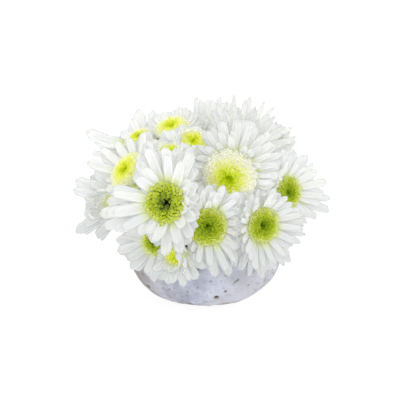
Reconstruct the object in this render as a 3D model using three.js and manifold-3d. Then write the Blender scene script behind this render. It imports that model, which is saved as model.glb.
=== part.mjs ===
// Pot chrysanthemum: a small round cement bowl filled with potting soil, seven leafy stems
// rooted in it, and a dome of white daisy-like and cushion-centred blooms on their branches.
// Millimetres, +Z up. The origin is the centre of the pot's foot, and -Y is the front.
import * as THREE from "three";
import { mergeVertices } from "three/addons/utils/BufferGeometryUtils.js";
import Module from "manifold-3d";

const wasm = await Module();
wasm.setup();

// ---------------------------------------------------------------- driving dimensions
const GAP = 0.3; // clearance between neighbouring pieces
const TURN = Math.PI * 2;

const POT = {
  foot: 26, // radius of the flat foot
  belly: 54.5, // widest radius
  bellyHeight: 36,
  rim: 53, // outer radius at the rim
  height: 50,
  wall: 6,
  floor: 7,
  heel: 5, // how much further in the inside's lower corner lies
  round: 1.5, // the rim's edges are eased by this much
  drains: 3, // how many drain holes go through the floor
  drain: 4, // their radius
  drainCircle: 15, // radius of the circle that they lie on
  wobble: 0.014, // how far the hand-made round strays, as a share of the radius
  sides: 30,
};
const SOIL = { top: 43, bumps: 0.9, sides: 16 };
const STEM = { radius: 2.2, branch: 1.3, rootDepth: 22, forkHeight: 9, sides: 5 };
const CALYX = { radius: 0.62, depth: 9 }; // radius as a share of the bloom's disc
const CORE = { over: 1, half: 2.2 }; // the pale knob that carries the petals
const PETAL = { thickness: 1.3, width: 9.2, cup: 0.15, march: 1.5, shortest: 4 };
const WALL = { margin: 0.9, zone: 8 }; // how closely petals may near a neighbour's space
const BUSH = { centre: [0, 0, 40], radii: [55, 55, 44] }; // the inside that petals keep out of
const LEAF = { length: 26, width: 17, thickness: 0.9, arch: 5, fold: 1.6 };

// Two rings of petals. Lift is the angle above the bloom's face, curl bends it along its length, and
// squeeze is how much longer than the room up to a neighbour a petal may be, as it turns up there.
const ROWS = [
  { height: -1.3, lift: 0, curl: -12, reach: 1.0, offset: 0, inset: 0, width: 1, squeeze: 8 },
  { height: 0.9, lift: 25, curl: 8, reach: 0.9, offset: 0.5, inset: 2, width: 0.88, squeeze: 6.5 },
];
const PETALS_IN_ROW = 7; // of most blooms
const SPREAD = { lift: 9, turn: 0.24, reach: 0.2, curl: 18 };

// Kinds of centre. Rise and dip are shares of the disc's radius.
const CENTRES = {
  daisy: { rise: 0.42, dip: 0.2, bands: 3, florets: 6, bump: 0.08 },
  cushion: { rise: 0.78, dip: 0.12, bands: 4, florets: 7, bump: 0.07 },
};

// Each bloom: where its centre is, the azimuth and elevation that it faces (azimuth 0 is the front,
// 90 is +X), how far its petals reach, its disc's radius, the kind of centre, the stem that carries it,
// and its level: where two blooms meet, the petals of the higher level lie over the other's.
const BLOOMS = [
  { at: [-24, -60, 81], faces: [-18, 14], reach: 41, disc: 11, kind: "daisy", stem: 1, level: 3 },
  { at: [0, -57, 66], faces: [6, 4], reach: 36, disc: 10, kind: "daisy", stem: 2, level: 3 },
  { at: [34, -46, 63], faces: [28, 6], reach: 36, disc: 9, kind: "daisy", stem: 2, level: 3 },
  { at: [51, -25, 79], faces: [40, 10], reach: 41, disc: 8.5, kind: "daisy", stem: 3, level: 2 },
  { at: [17, -38, 96], faces: [-14, -6], reach: 34, disc: 15.5, kind: "cushion", stem: 2, level: 1 },
  { at: [-48, -14, 87], faces: [-52, 38], reach: 42, disc: 12, kind: "cushion", stem: 6, level: 3 },
  { at: [-22, 12, 110], faces: [-30, 60], reach: 31, disc: 10, kind: "cushion", stem: 7, level: 2 },
  { at: [-10, -20, 107], faces: [14, 48], reach: 28, disc: 9, kind: "cushion", stem: 7, level: 1 },
  { at: [-44, 15, 102], faces: [-48, 58], reach: 43, disc: 9, kind: "cushion", stem: 6, level: 2 },
  { at: [23, -5, 104], faces: [10, 42], reach: 41, disc: 7.5, kind: "daisy", stem: 3, level: 2 },
  { at: [42, 17, 99], faces: [60, 44], reach: 27, disc: 9, kind: "daisy", petals: 6, stem: 3, level: 1 },
  { at: [-59, -8, 68], faces: [-32, 4], reach: 37, disc: 7, kind: "daisy", stem: 6, level: 1 },
  { at: [-31, -52, 54], faces: [-34, -2], reach: 32, disc: 6.5, kind: "daisy", petals: 6, stem: 1, level: 1 },
  { at: [-19, -65, 50], faces: [-14, -8], reach: 30, disc: 5.5, kind: "daisy", stem: 1, level: 0 },
  { at: [2, 28, 111], faces: [150, 76], reach: 33, disc: 9, kind: "daisy", petals: 6, stem: 7, level: 2 },
  { at: [-23, -42, 105], faces: [-8, 50], reach: 27, disc: 6.5, kind: "cushion", stem: 1, level: 1 },
  { at: [-56, 36, 73], faces: [-120, 18], reach: 34, disc: 10, kind: "daisy", petals: 6, stem: 5, level: 2 },
  { at: [-24, 52, 92], faces: [-156, 36], reach: 33, disc: 10, kind: "daisy", petals: 6, stem: 5, level: 1 },
  { at: [21, 48, 95], faces: [154, 40], reach: 33, disc: 11, kind: "cushion", petals: 6, stem: 4, level: 2 },
  { at: [54, 34, 73], faces: [120, 16], reach: 32, disc: 10, kind: "daisy", petals: 6, stem: 4, level: 1 },
  { at: [-34, 58, 59], faces: [-150, 2], reach: 32, disc: 9.5, kind: "daisy", petals: 6, stem: 5, level: 1 },
  { at: [16, 66, 62], faces: [168, 4], reach: 33, disc: 10, kind: "daisy", petals: 6, stem: 4, level: 0 },
  { at: [58, 2, 66], faces: [88, 6], reach: 27, disc: 9, kind: "daisy", petals: 6, stem: 3, level: 0 },
];

// How far petals reach in each direction of some blooms: an angle in degrees about the bloom's own
// axis, from its east, and a share of the bloom's reach. The others reach as far all round.
const OUTLINES = {
  1: [
    [0, 0.5], [30, 0.52], [50, 0.58], [65, 0.9], [80, 1.06], [100, 1], [118, 0.84], [137, 0.8],
    [150, 0.6], [163, 0.62], [176, 1], [190, 1.06], [206, 1.12], [222, 0.82], [238, 0.72],
    [252, 0.86], [270, 0.98], [288, 1.05], [308, 0.95], [325, 0.66],
  ],
  2: [
    [0, 0.8], [30, 0.8], [53, 0.94], [72, 0.84], [95, 0.72], [130, 0.6], [180, 0.62], [215, 0.9],
    [250, 0.97], [270, 0.97], [287, 1.06], [307, 1.06], [330, 0.88],
  ],
  3: [
    [0, 0.96], [12, 1], [30, 0.8], [65, 0.74], [90, 0.8], [120, 0.76], [150, 0.68], [180, 0.66],
    [210, 0.76], [240, 0.9], [270, 0.98], [295, 0.92], [303, 1], [312, 0.84], [322, 0.8],
    [333, 0.98], [342, 1], [350, 0.9],
  ],
  4: [
    [0, 1.04], [8, 1.04], [16, 0.75], [28, 0.7], [38, 0.93], [45, 0.8], [52, 0.7], [90, 0.74],
    [120, 0.62], [150, 0.5], [180, 0.46], [210, 0.46], [240, 0.55], [270, 0.66], [292, 0.62],
    [306, 0.68], [318, 0.86], [328, 1], [340, 0.78], [350, 0.86],
  ],
  6: [
    [0, 0.3], [30, 0.4], [60, 0.62], [90, 0.84], [118, 1.05], [135, 1.2], [150, 1.1], [170, 0.96],
    [190, 1], [210, 1.08], [235, 0.88], [255, 0.6], [275, 0.42], [300, 0.3], [330, 0.28],
  ],
  7: [
    [0, 0.66], [30, 0.74], [60, 0.84], [90, 0.84], [120, 0.86], [150, 0.86], [180, 0.76],
    [210, 0.5], [235, 0.36], [270, 0.3], [310, 0.3], [340, 0.5],
  ],
  8: [
    [0, 0.62], [30, 0.62], [90, 0.66], [120, 0.7], [150, 0.84], [170, 1], [185, 0.7], [210, 0.42],
    [240, 0.5], [270, 0.56], [300, 0.62], [330, 0.62],
  ],
  9: [
    [0, 0.8], [45, 0.8], [90, 0.85], [120, 0.9], [140, 0.96], [160, 0.82], [172, 0.66],
    [186, 0.76], [196, 1], [204, 1.14], [216, 1.1], [240, 0.95], [270, 0.8], [320, 0.75],
  ],
  12: [
    [0, 0.4], [60, 0.5], [90, 0.6], [120, 0.7], [140, 0.8], [155, 0.92], [163, 1.15], [170, 1.15],
    [177, 0.86], [187, 0.78], [196, 0.86], [207, 0.82], [217, 0.8], [229, 1.2], [237, 1.32],
    [246, 0.85], [257, 0.55], [270, 0.5], [320, 0.4],
  ],
  13: [
    [0, 0.5], [60, 0.42], [120, 0.45], [150, 0.5], [168, 0.8], [180, 0.95], [203, 1], [214, 0.9],
    [226, 0.9], [240, 0.86], [252, 0.8], [265, 0.88], [285, 0.84], [300, 0.78], [330, 0.65],
  ],
  14: [
    [0, 0.8], [25, 0.75], [60, 0.85], [90, 0.5], [130, 0.3], [155, 0.4], [180, 0.7], [210, 0.8],
    [235, 0.85], [255, 0.84], [270, 0.8], [285, 0.84], [300, 0.8], [320, 0.85], [340, 0.8],
  ],
  16: [
    [0, 0.8], [40, 0.6], [70, 0.46], [110, 0.46], [140, 0.7], [165, 0.9], [190, 0.9], [230, 0.8],
    [270, 0.7], [320, 0.8],
  ],
};

// Where each stem stands in the soil.
const STEMS = [
  [-13, -19],
  [12, -20],
  [23, -4],
  [14, 19],
  [-12, 21],
  [-24, 3],
  [0, 0],
];

// ---------------------------------------------------------------- small helpers
const V = (x, y, z) => new THREE.Vector3(x, y, z);
const radians = THREE.MathUtils.degToRad;
const clamp = THREE.MathUtils.clamp;

// A repeatable number from 0 to 1 for whole-number keys.
function chance(a, b = 0, c = 0, d = 0) {
  const s = Math.sin(a * 12.9898 + b * 78.233 + c * 37.719 + d * 4.581) * 43758.5453;
  return s - Math.floor(s);
}

// The direction that an azimuth and an elevation in degrees point to.
function direction([azimuth, elevation]) {
  const a = radians(azimuth);
  const e = radians(elevation);
  return V(Math.sin(a) * Math.cos(e), -Math.cos(a) * Math.cos(e), Math.sin(e));
}

function geometryOf(points, faces) {
  const flat = points.flatMap((p) => [p.x, p.y, p.z]);
  const geometry = new THREE.BufferGeometry();
  geometry.setAttribute("position", new THREE.Float32BufferAttribute(flat, 3));
  return geometry.setIndex(faces.flat());
}

// A closed geometry as a manifold-3d solid, with its shared vertices merged.
function solidOf(geometry) {
  const bare = geometry.clone();
  bare.deleteAttribute("normal");
  bare.deleteAttribute("uv");
  const merged = mergeVertices(bare, 1e-4);
  const index = merged.index.array;
  const faces = [];
  for (let i = 0; i < index.length; i += 3) {
    const [a, b, c] = index.subarray(i, i + 3);
    if (a !== b && b !== c && c !== a) faces.push(a, b, c);
  }
  const vertProperties = merged.attributes.position.array;
  return new wasm.Manifold(
    new wasm.Mesh({ numProp: 3, vertProperties, triVerts: new Uint32Array(faces) }),
  );
}

// The largest body of a solid, as a geometry.
function geometryFrom(solid) {
  const largest = solid.decompose().sort((a, b) => b.volume() - a.volume())[0];
  const mesh = largest.getMesh();
  const geometry = new THREE.BufferGeometry();
  geometry.setAttribute("position", new THREE.BufferAttribute(mesh.vertProperties, 3));
  geometry.setIndex(new THREE.BufferAttribute(mesh.triVerts, 1));
  return geometry;
}

const joined = (solids) => geometryFrom(wasm.Manifold.union(solids));

// A thin blade from a root point to a tip point through sections, which each hold the left and
// right edge and the middle of the face over and the face under.
function bladeSolid(root, sections, tip) {
  const n = sections.length;
  const points = [root, ...sections.flat(), tip];
  const at = (section, corner) => 1 + 4 * section + corner;
  const tipIndex = points.length - 1;
  const faces = [];
  const around = [
    [0, 2], // left edge to the face over
    [2, 1], // and on to the right edge
    [1, 3],
    [3, 0],
  ];
  for (const [a, b] of around) {
    faces.push([0, at(0, a), at(0, b)]);
    faces.push([tipIndex, at(n - 1, b), at(n - 1, a)]);
    for (let k = 0; k < n - 1; k++) {
      const middle = a > 1 ? [at(k, a), at(k + 1, b)] : [at(k + 1, a), at(k, b)];
      if (a > 1) faces.push([at(k, a), at(k + 1, a), middle[1]], [at(k, a), middle[1], at(k, b)]);
      else faces.push([at(k, a), middle[0], at(k, b)], [middle[0], at(k + 1, b), at(k, b)]);
    }
  }
  const solid = solidOf(geometryOf(points, faces));
  if (solid.volume() > 0) return solid;
  return solidOf(geometryOf(points, faces.map((face) => face.toReversed())));
}

// ---------------------------------------------------------------- the spaces between blooms
for (const bloom of BLOOMS) {
  bloom.centre = V(...bloom.at);
  bloom.axis = direction(bloom.faces);
  bloom.east = V(0, 0, 1).cross(bloom.axis).normalize();
  bloom.north = bloom.axis.clone().cross(bloom.east);
  bloom.core = bloom.disc + CORE.over;
  bloom.walls = [];
}

// Each pair of near blooms is parted by a plane, which leans over the one of the lower level as far
// as the room between their cores lets it.
for (const [i, a] of BLOOMS.entries()) {
  for (const b of BLOOMS.slice(i + 1)) {
    const between = b.centre.clone().sub(a.centre);
    if (between.length() > a.reach + b.reach) continue;
    const middle = a.centre.clone().addScaledVector(between, a.core / (a.core + b.core));
    const normal = between.clone().normalize();
    const outward = a.axis.clone().add(b.axis);
    outward.addScaledVector(normal, -outward.dot(normal)).normalize();
    const most = clamp((between.length() - a.core - b.core) / 12, 0, 0.9);
    const lean = clamp(0.32 * (a.level - b.level), -most, most);
    normal.addScaledVector(outward, -lean).normalize();
    const limit = normal.dot(middle);
    a.walls.push({ normal, limit: limit - WALL.margin });
    b.walls.push({ normal: normal.clone().negate(), limit: -limit - WALL.margin });
  }
}

const bushCentre = V(...BUSH.centre);
const bushRadii = V(...BUSH.radii);

// The nearest wall of the bush's inside to a point, in the same form as a wall between blooms.
function bushWall(point) {
  const scaled = point.clone().sub(bushCentre).divide(bushRadii);
  const slope = scaled.clone().divide(bushRadii);
  const distance = ((scaled.length() - 1) * scaled.length()) / slope.length();
  const normal = slope.normalize().negate();
  return { normal, limit: normal.dot(point) + distance };
}

// The walls near a point of a petal, kept a further inset away where there is room for it.
function wallsAt(bloom, point, inset) {
  return [...bloom.walls, bushWall(point)].map(({ normal, limit }) => {
    const room = limit - normal.dot(bloom.centre) - bloom.core - PETAL.thickness;
    return { normal, limit: limit - clamp(room, 0, inset) };
  });
}

// Turns a heading away from any wall that it nears: up along the bloom's axis, or down along it under
// a wall that leans over the bloom.
function steer(bloom, point, heading, inset) {
  for (const { normal, limit } of wallsAt(bloom, point, inset)) {
    const allowed = clamp((limit - normal.dot(point)) / WALL.zone, -1, 1);
    const excess = normal.dot(heading) - allowed;
    if (excess <= 0) continue;
    const over = bloom.axis.dot(normal);
    const rise = bloom.axis.clone().addScaledVector(normal, -over);
    rise.multiplyScalar(clamp(1 - 5 * over, -1, 1));
    heading.addScaledVector(normal, -excess).addScaledVector(rise, excess).normalize();
  }
  return heading;
}

// Moves a point out of the space over the disc and of what lies past a wall.
function confine(bloom, point, inset = 0) {
  const offset = point.clone().sub(bloom.centre);
  const height = offset.dot(bloom.axis);
  offset.addScaledVector(bloom.axis, -height);
  const short = bloom.disc + PETAL.thickness - offset.length();
  if (height > CORE.half - PETAL.thickness && short > 0) point.addScaledVector(offset.normalize(), short);
  for (let pass = 0; pass < 3; pass++) {
    for (const { normal, limit } of wallsAt(bloom, point, inset)) {
      const past = normal.dot(point) - limit;
      if (past > 0) point.addScaledVector(normal, -past);
    }
  }
  return point;
}

// ---------------------------------------------------------------- petals
// The petal's sections, as shares of its free length, each with its share of the full width.
const PETAL_SECTIONS = [
  [0.28, 0.8],
  [0.84, 0.88],
];
const PETAL_ROOT = 0.8; // the root's depth in the core, as a share of the way to the first section

// The line that a petal follows from the core's edge, as points a short march apart, each with
// the heading there and the direction across the petal.
function petalSpine(bloom, radial, row, lift, curl, length) {
  const side = bloom.axis.clone().cross(radial);
  const point = bloom.centre.clone().addScaledVector(bloom.axis, row.height);
  point.addScaledVector(radial, bloom.core);
  const steps = Math.ceil(length / PETAL.march);
  const spine = [{ point: point.clone(), heading: radial.clone(), side: side.clone() }];
  for (let k = 1; k <= steps; k++) {
    const angle = radians(lift + (curl * k) / steps);
    const wanted = radial.clone().multiplyScalar(Math.cos(angle));
    wanted.addScaledVector(bloom.axis, Math.sin(angle)).lerp(spine[k - 1].heading, 0.5).normalize();
    const heading = steer(bloom, point, wanted, row.inset);
    point.addScaledVector(heading, PETAL.march);
    side.addScaledVector(heading, -side.dot(heading)).normalize();
    spine.push({ point: point.clone(), heading: heading.clone(), side: side.clone() });
  }
  return spine;
}

// A petal is a blade whose middle lies lower than its edges, so that it is cupped upwards. Its
// root is sunk in the core.
function petalSolid(bloom, radial, row, lift, curl, length) {
  const spine = petalSpine(bloom, radial, row, lift, curl, length);
  const at = (share) => spine[Math.round(share * (spine.length - 1))];
  const sections = PETAL_SECTIONS.map(([share, width]) => {
    const { point, heading, side } = at(share);
    const half = (row.width * width * PETAL.width) / 2;
    const up = heading.clone().cross(side);
    const left = confine(bloom, point.clone().addScaledVector(side, half), row.inset);
    const right = confine(bloom, point.clone().addScaledVector(side, -half), row.inset);
    const middle = confine(bloom, point.clone().addScaledVector(up, -2 * half * PETAL.cup), row.inset);
    const normal = left.clone().sub(right).cross(heading).normalize();
    if (normal.dot(up) < 0) normal.negate();
    const over = middle.clone().addScaledVector(normal, PETAL.thickness / 2);
    const under = middle.clone().addScaledVector(normal, -PETAL.thickness / 2);
    return [left, right, over, under];
  });
  const gate = spine[0].point;
  const first = sections[0][2].clone().add(sections[0][3]).multiplyScalar(0.5);
  const inwards = gate.clone().sub(first).multiplyScalar(PETAL_ROOT);
  const drop = inwards.dot(bloom.axis);
  inwards.addScaledVector(bloom.axis, clamp(drop, -0.6, 0.6) - drop).clampLength(0, bloom.core * 0.75);
  const tip = confine(bloom, at(1).point.clone(), row.inset);
  return bladeSolid(gate.clone().add(inwards), sections, tip);
}

// Turns a shape made about +Z to a bloom's axis, and moves it to the bloom.
function onBloom(bloom, geometry) {
  const frame = new THREE.Matrix4().makeBasis(bloom.east, bloom.north, bloom.axis);
  return geometry.applyMatrix4(frame.setPosition(bloom.centre));
}

// The share of its reach that a bloom's outline gives to petals of an azimuth.
function shareAt(number, azimuth) {
  const outline = OUTLINES[number];
  if (!outline) return 1;
  const angle = THREE.MathUtils.euclideanModulo(THREE.MathUtils.radToDeg(azimuth), 360);
  const after = outline.findIndex(([start]) => start > angle);
  const [from, to] = [outline.at(after < 0 ? -1 : after - 1), outline[Math.max(after, 0)]];
  const gap = after < 0 ? 360 - from[0] : to[0] - from[0];
  return THREE.MathUtils.mapLinear(angle, from[0], from[0] + gap, from[1], to[1]);
}

// How far it is from the core's edge to the nearest wall, along a petal of a lift in degrees.
function roomFor(bloom, radial, lift) {
  const start = bloom.centre.clone().addScaledVector(radial, bloom.core);
  const heading = radial.clone().multiplyScalar(Math.cos(radians(lift)));
  heading.addScaledVector(bloom.axis, Math.sin(radians(lift)));
  const distances = bloom.walls.map(({ normal, limit }) => {
    const towards = normal.dot(heading);
    return towards > 0.05 ? (limit - normal.dot(start)) / towards : Infinity;
  });
  return Math.max(Math.min(...distances), 0);
}

function petalsOf(bloom, number) {
  const inRow = bloom.petals ?? PETALS_IN_ROW;
  const sides = 2 * inRow; // one for each petal to grow from
  const core = new THREE.CylinderGeometry(bloom.core, bloom.core, 2 * CORE.half, sides);
  core.rotateX(Math.PI / 2).rotateZ(Math.PI / 2 + Math.PI / sides);
  const solids = [solidOf(onBloom(bloom, core))];
  for (const [r, row] of ROWS.entries()) {
    for (let k = 0; k < inRow; k++) {
      const draw = (channel) => chance(number, r, k, channel) - 0.5;
      const azimuth = ((k + row.offset + SPREAD.turn * draw(1)) / inRow) * TURN;
      const lift = row.lift + SPREAD.lift * draw(2);
      const curl = row.curl + SPREAD.curl * draw(3);
      const radial = bloom.east.clone().multiplyScalar(Math.cos(azimuth));
      radial.addScaledVector(bloom.north, Math.sin(azimuth));
      const reach = bloom.reach * shareAt(number, azimuth) - bloom.core;
      const wanted = reach * row.reach * (1 + SPREAD.reach * draw(4));
      const length = Math.min(wanted, roomFor(bloom, radial, lift + 0.4 * curl) * 1.1 + row.squeeze);
      if (length > PETAL.shortest) solids.push(petalSolid(bloom, radial, row, lift, curl, length));
    }
  }
  return joined(solids);
}

// ---------------------------------------------------------------- discs of florets
// A dome whose rings of points stand out and in by turns, as florets packed in a spiral do.
function discOf(bloom) {
  const { rise, dip, bands, florets, bump } = CENTRES[bloom.kind];
  const R = bloom.disc;
  const count = florets * 2;
  const points = [V(0, 0, 0)];
  for (let band = 0; band <= bands; band++) {
    const share = 1 - band / (bands + 0.6);
    const rim = band === 0;
    for (let k = 0; k < count; k++) {
      const out = (k + band) % 2 ? 1 : -1;
      const angle = (k / count) * TURN;
      const dome = rim ? 0 : rise * Math.sqrt(1 - share * share * 0.8) - dip * (1 - share) ** 2 * 2.5;
      const lift = R * (dome + (rim ? 0 : out * bump));
      const radius = R * share * (1 + (rim ? 0.04 * out - 0.06 : 0.03 * out));
      points.push(V(radius * Math.cos(angle), radius * Math.sin(angle), lift));
    }
  }
  const top = points.length;
  points.push(V(0, 0, R * (rise - dip * 2)));
  const ring = (band, k) => 1 + band * count + (k % count);
  const faces = [];
  for (let k = 0; k < count; k++) {
    faces.push([0, ring(0, k + 1), ring(0, k)]);
    for (let band = 0; band < bands; band++) {
      const [a, b, c, d] = [ring(band, k), ring(band, k + 1), ring(band + 1, k + 1), ring(band + 1, k)];
      if ((k + band) % 2) faces.push([a, b, c], [a, c, d]);
      else faces.push([a, b, d], [b, c, d]);
    }
    faces.push([top, ring(bands, k), ring(bands, k + 1)]);
  }
  return onBloom(bloom, geometryOf(points, faces).translate(0, 0, CORE.half + GAP));
}

// ---------------------------------------------------------------- stems, calyces and leaves
// A round tube through points, with its own radius at each.
function sweep(points, radii, sides = STEM.sides) {
  const ring = [];
  let side = V(1, 0, 0.01);
  for (const [k, point] of points.entries()) {
    const ahead = points[Math.min(k + 1, points.length - 1)];
    const behind = points[Math.max(k - 1, 0)];
    const heading = ahead.clone().sub(behind).normalize();
    side = side.clone().addScaledVector(heading, -side.dot(heading)).normalize();
    const other = heading.clone().cross(side);
    for (let s = 0; s < sides; s++) {
      const a = (s / sides) * TURN;
      const spoke = side.clone().multiplyScalar(Math.cos(a)).addScaledVector(other, Math.sin(a));
      ring.push(point.clone().addScaledVector(spoke, radii[k]));
    }
  }
  const last = points.length - 1;
  const ends = [ring.length, ring.length + 1];
  const all = [...ring, points[0].clone(), points[last].clone()];
  const faces = [];
  for (let s = 0; s < sides; s++) {
    const next = (s + 1) % sides;
    faces.push([ends[0], next, s], [ends[1], last * sides + s, last * sides + next]);
    for (let k = 0; k < last; k++) {
      const [a, b] = [k * sides + s, k * sides + next];
      faces.push([a, b, b + sides], [a, b + sides, a + sides]);
    }
  }
  return solidOf(geometryOf(all, faces));
}

// The branch from a fork to a bloom: it leaves outwards, arrives along the bloom's axis, and
// flares into the green calyx that holds the core.
function branchOf(bloom, fork) {
  const seat = bloom.centre.clone().addScaledVector(bloom.axis, -CORE.half - GAP);
  const neck = seat.clone().addScaledVector(bloom.axis, -CALYX.depth);
  const before = neck.clone().addScaledVector(bloom.axis, -5);
  const halfway = fork.clone().lerp(before, 0.5).add(V(0, 0, 3));
  const line = new THREE.CatmullRomCurve3([fork, halfway, before, neck]);
  const points = [...line.getPoints(3), neck.clone().lerp(seat, 0.45), seat];
  const cup = bloom.disc * CALYX.radius;
  const radii = [...Array(4).fill(STEM.branch), cup * 0.8, cup];
  return sweep(points, radii);
}

// A chrysanthemum leaf: two pairs of blunt lobes and an end lobe, arched along its midrib. Each
// pair is a share of the length and a share of the half width.
const LEAF_SECTIONS = [
  [0.12, 0.12],
  [0.26, 0.72],
  [0.4, 0.28],
  [0.55, 1.0],
  [0.68, 0.36],
  [0.82, 0.56],
];

function leafOf(root, heading) {
  const side = heading.clone().cross(V(0, 0, 1)).normalize();
  const lift = side.clone().cross(heading).normalize();
  const place = (share, across, height) => {
    const arch = LEAF.arch * (share - 1.8 * share * share);
    const point = root.clone().addScaledVector(heading, share * LEAF.length);
    point.addScaledVector(side, (across * LEAF.width) / 2);
    return point.addScaledVector(lift, height + arch + Math.abs(across) * LEAF.fold);
  };
  const sections = LEAF_SECTIONS.map(([share, across]) => [
    place(share, across, 0),
    place(share, -across, 0),
    place(share, 0, LEAF.thickness / 2),
    place(share, 0, -LEAF.thickness / 2),
  ]);
  return bladeSolid(root, sections, place(1, 0, 0));
}

function leafyStemOf([x, y], number) {
  const lean = V(x, y, 0).multiplyScalar(0.12);
  const foot = V(x, y, SOIL.top - STEM.rootDepth);
  const collar = V(x, y, SOIL.top + 2);
  const fork = collar.clone().add(lean).add(V(0, 0, STEM.forkHeight));
  const trunk = [foot, collar, fork, fork.clone().add(V(0, 0, 1.5))];
  const solids = [sweep(trunk, [STEM.radius, STEM.radius, STEM.radius * 0.9, STEM.branch])];
  for (const bloom of BLOOMS) if (bloom.stem === number) solids.push(branchOf(bloom, fork));
  if (x || y) {
    const out = Math.atan2(y, x);
    for (const swing of [-0.32, 0.32]) {
      const away = V(Math.cos(out + swing), Math.sin(out + swing), 0.34).normalize();
      solids.push(leafOf(collar.clone().add(V(0, 0, 4)), away));
    }
  }
  return joined(solids);
}

// ---------------------------------------------------------------- pot and soil
// The pot was shaped by hand, so its round strays a little with the angle.
const stray = (angle) => 1 + POT.wobble * (Math.sin(2 * angle - 0.3) + 0.6 * Math.sin(3 * angle - 1.4));

// Turns a closed profile of [radius, height] round +Z, with the pot's stray.
function turned(profile, sides) {
  const geometry = new THREE.LatheGeometry(profile.map((p) => new THREE.Vector2(...p)), sides);
  geometry.rotateX(Math.PI / 2);
  const position = geometry.attributes.position;
  for (let i = 0; i < position.count; i++) {
    const factor = stray(Math.atan2(position.getY(i), position.getX(i)));
    position.setX(i, position.getX(i) * factor);
    position.setY(i, position.getY(i) * factor);
  }
  return geometry;
}

// The pot's outer radius at a height: a full round from the foot to the belly, then in a little to
// the rim.
function potRadius(z) {
  if (z > POT.bellyHeight) {
    const t = (z - POT.bellyHeight) / (POT.height - POT.bellyHeight);
    return POT.belly + (POT.rim - POT.belly) * t * t;
  }
  const t = 1 - z / POT.bellyHeight;
  return POT.foot + (POT.belly - POT.foot) * (1 - t ** 2.6) ** 0.6;
}

// A round rod that stands from one height to another, to cut a hole with.
function upright(radius, from, to, x, y, sides) {
  const rod = new THREE.CylinderGeometry(radius, radius, to - from, sides);
  return solidOf(rod.rotateX(Math.PI / 2).translate(x, y, (from + to) / 2));
}

// The pot's inside as [radius, height], down from the rim; the soil's edge follows it.
const potInside = [POT.height - POT.round, SOIL.top, 29, 16, POT.floor].map((z) => {
  return [potRadius(z) - POT.wall, z];
});
potInside.at(-1)[0] -= POT.heel;

function potGeometry() {
  const outside = [0, 1.5, 6, 14, 25, 38, POT.height - POT.round].map((z) => [potRadius(z), z]);
  const profile = [
    [0, 0],
    ...outside,
    [POT.rim - POT.round, POT.height],
    [POT.rim - POT.wall + POT.round, POT.height],
    ...potInside,
    [0, POT.floor],
  ];
  const holes = Array.from({ length: POT.drains }, (_, k) => {
    const angle = (k / POT.drains) * TURN;
    const [x, y] = [POT.drainCircle * Math.cos(angle), POT.drainCircle * Math.sin(angle)];
    return upright(POT.drain, -1, POT.floor + 1, x, y, 8);
  });
  return geometryFrom(solidOf(turned(profile, POT.sides)).subtract(wasm.Manifold.union(holes)));
}

function soilGeometry() {
  const edge = potInside.slice(1).map(([radius, z]) => [radius - 2 * GAP, z]).reverse();
  edge[0][1] += GAP;
  const width = edge[edge.length - 1][0];
  const top = [0.75, 0.5, 0.25].map((share) => [width * share, SOIL.top + 1.2 * (1 - share)]);
  const profile = [[0, edge[0][1]], ...edge, ...top, [0, SOIL.top + 1.2]];
  const geometry = turned(profile, SOIL.sides);
  const position = geometry.attributes.position;
  for (let i = 0; i < position.count; i++) {
    const [x, y, z] = [position.getX(i), position.getY(i), position.getZ(i)];
    if (z < SOIL.top + 0.1 || Math.hypot(x, y) < 1) continue;
    position.setZ(i, z + SOIL.bumps * Math.sin(x * 0.9 + 1) * Math.cos(y * 0.8));
  }
  const bottom = SOIL.top - STEM.rootDepth - GAP;
  const holes = STEMS.map(([x, y]) => upright(STEM.radius + GAP, bottom, SOIL.top + 8, x, y, 8));
  return geometryFrom(solidOf(geometry).subtract(wasm.Manifold.union(holes)));
}

// ---------------------------------------------------------------- the plant in its pot
const finish = (color, roughness) => new THREE.MeshStandardMaterial({ color, roughness, metalness: 0 });
const cement = finish(0xc4c2cd, 0.9);
const earth = finish(0x3a2c20, 1);
const green = finish(0x4f7a2c, 0.6);
const white = finish(0xf6f7f3, 0.55);
const lime = finish(0xb7cc3a, 0.7);

const plant = new THREE.Group();
function place(name, geometry, material) {
  const mesh = new THREE.Mesh(geometry, material);
  mesh.name = name;
  plant.add(mesh);
}

place("pot", potGeometry(), cement);
place("soil", soilGeometry(), earth);
for (const [k, spot] of STEMS.entries()) place(`leafy_stem_${k + 1}`, leafyStemOf(spot, k + 1), green);
for (const [k, bloom] of BLOOMS.entries()) {
  const name = `bloom_${String(k + 1).padStart(2, "0")}`;
  place(`${name}_petals`, petalsOf(bloom, k + 1), white);
  place(`${name}_disc`, discOf(bloom), lime);
}

export default plant;
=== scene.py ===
"""A white pot chrysanthemum: a cement bowl of soil, leafy stems, and a dome of daisy-like and
cushion-centred blooms. Metres, +Z up, -Y the front; the origin is the centre of the bowl's foot.
"""

import math

import bpy
import numpy as np
from bpy.props import FloatProperty, FloatVectorProperty, IntProperty, PointerProperty
from mathutils import Matrix, Vector, noise


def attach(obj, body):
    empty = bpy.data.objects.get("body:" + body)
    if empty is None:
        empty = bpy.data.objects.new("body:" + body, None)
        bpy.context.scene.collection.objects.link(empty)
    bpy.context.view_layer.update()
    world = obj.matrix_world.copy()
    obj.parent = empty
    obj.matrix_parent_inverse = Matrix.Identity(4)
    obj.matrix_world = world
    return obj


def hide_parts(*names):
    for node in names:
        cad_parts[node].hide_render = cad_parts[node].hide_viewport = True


bl_info = {
    "name": "Pot Chrysanthemum",
    "version": (1, 0, 0),
    "blender": (4, 5, 0),
    "location": "View3D > Sidebar > Chrysanthemum",
    "description": "Builds a flowering pot chrysanthemum round its solid parts",
    "category": "Object",
}

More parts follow.
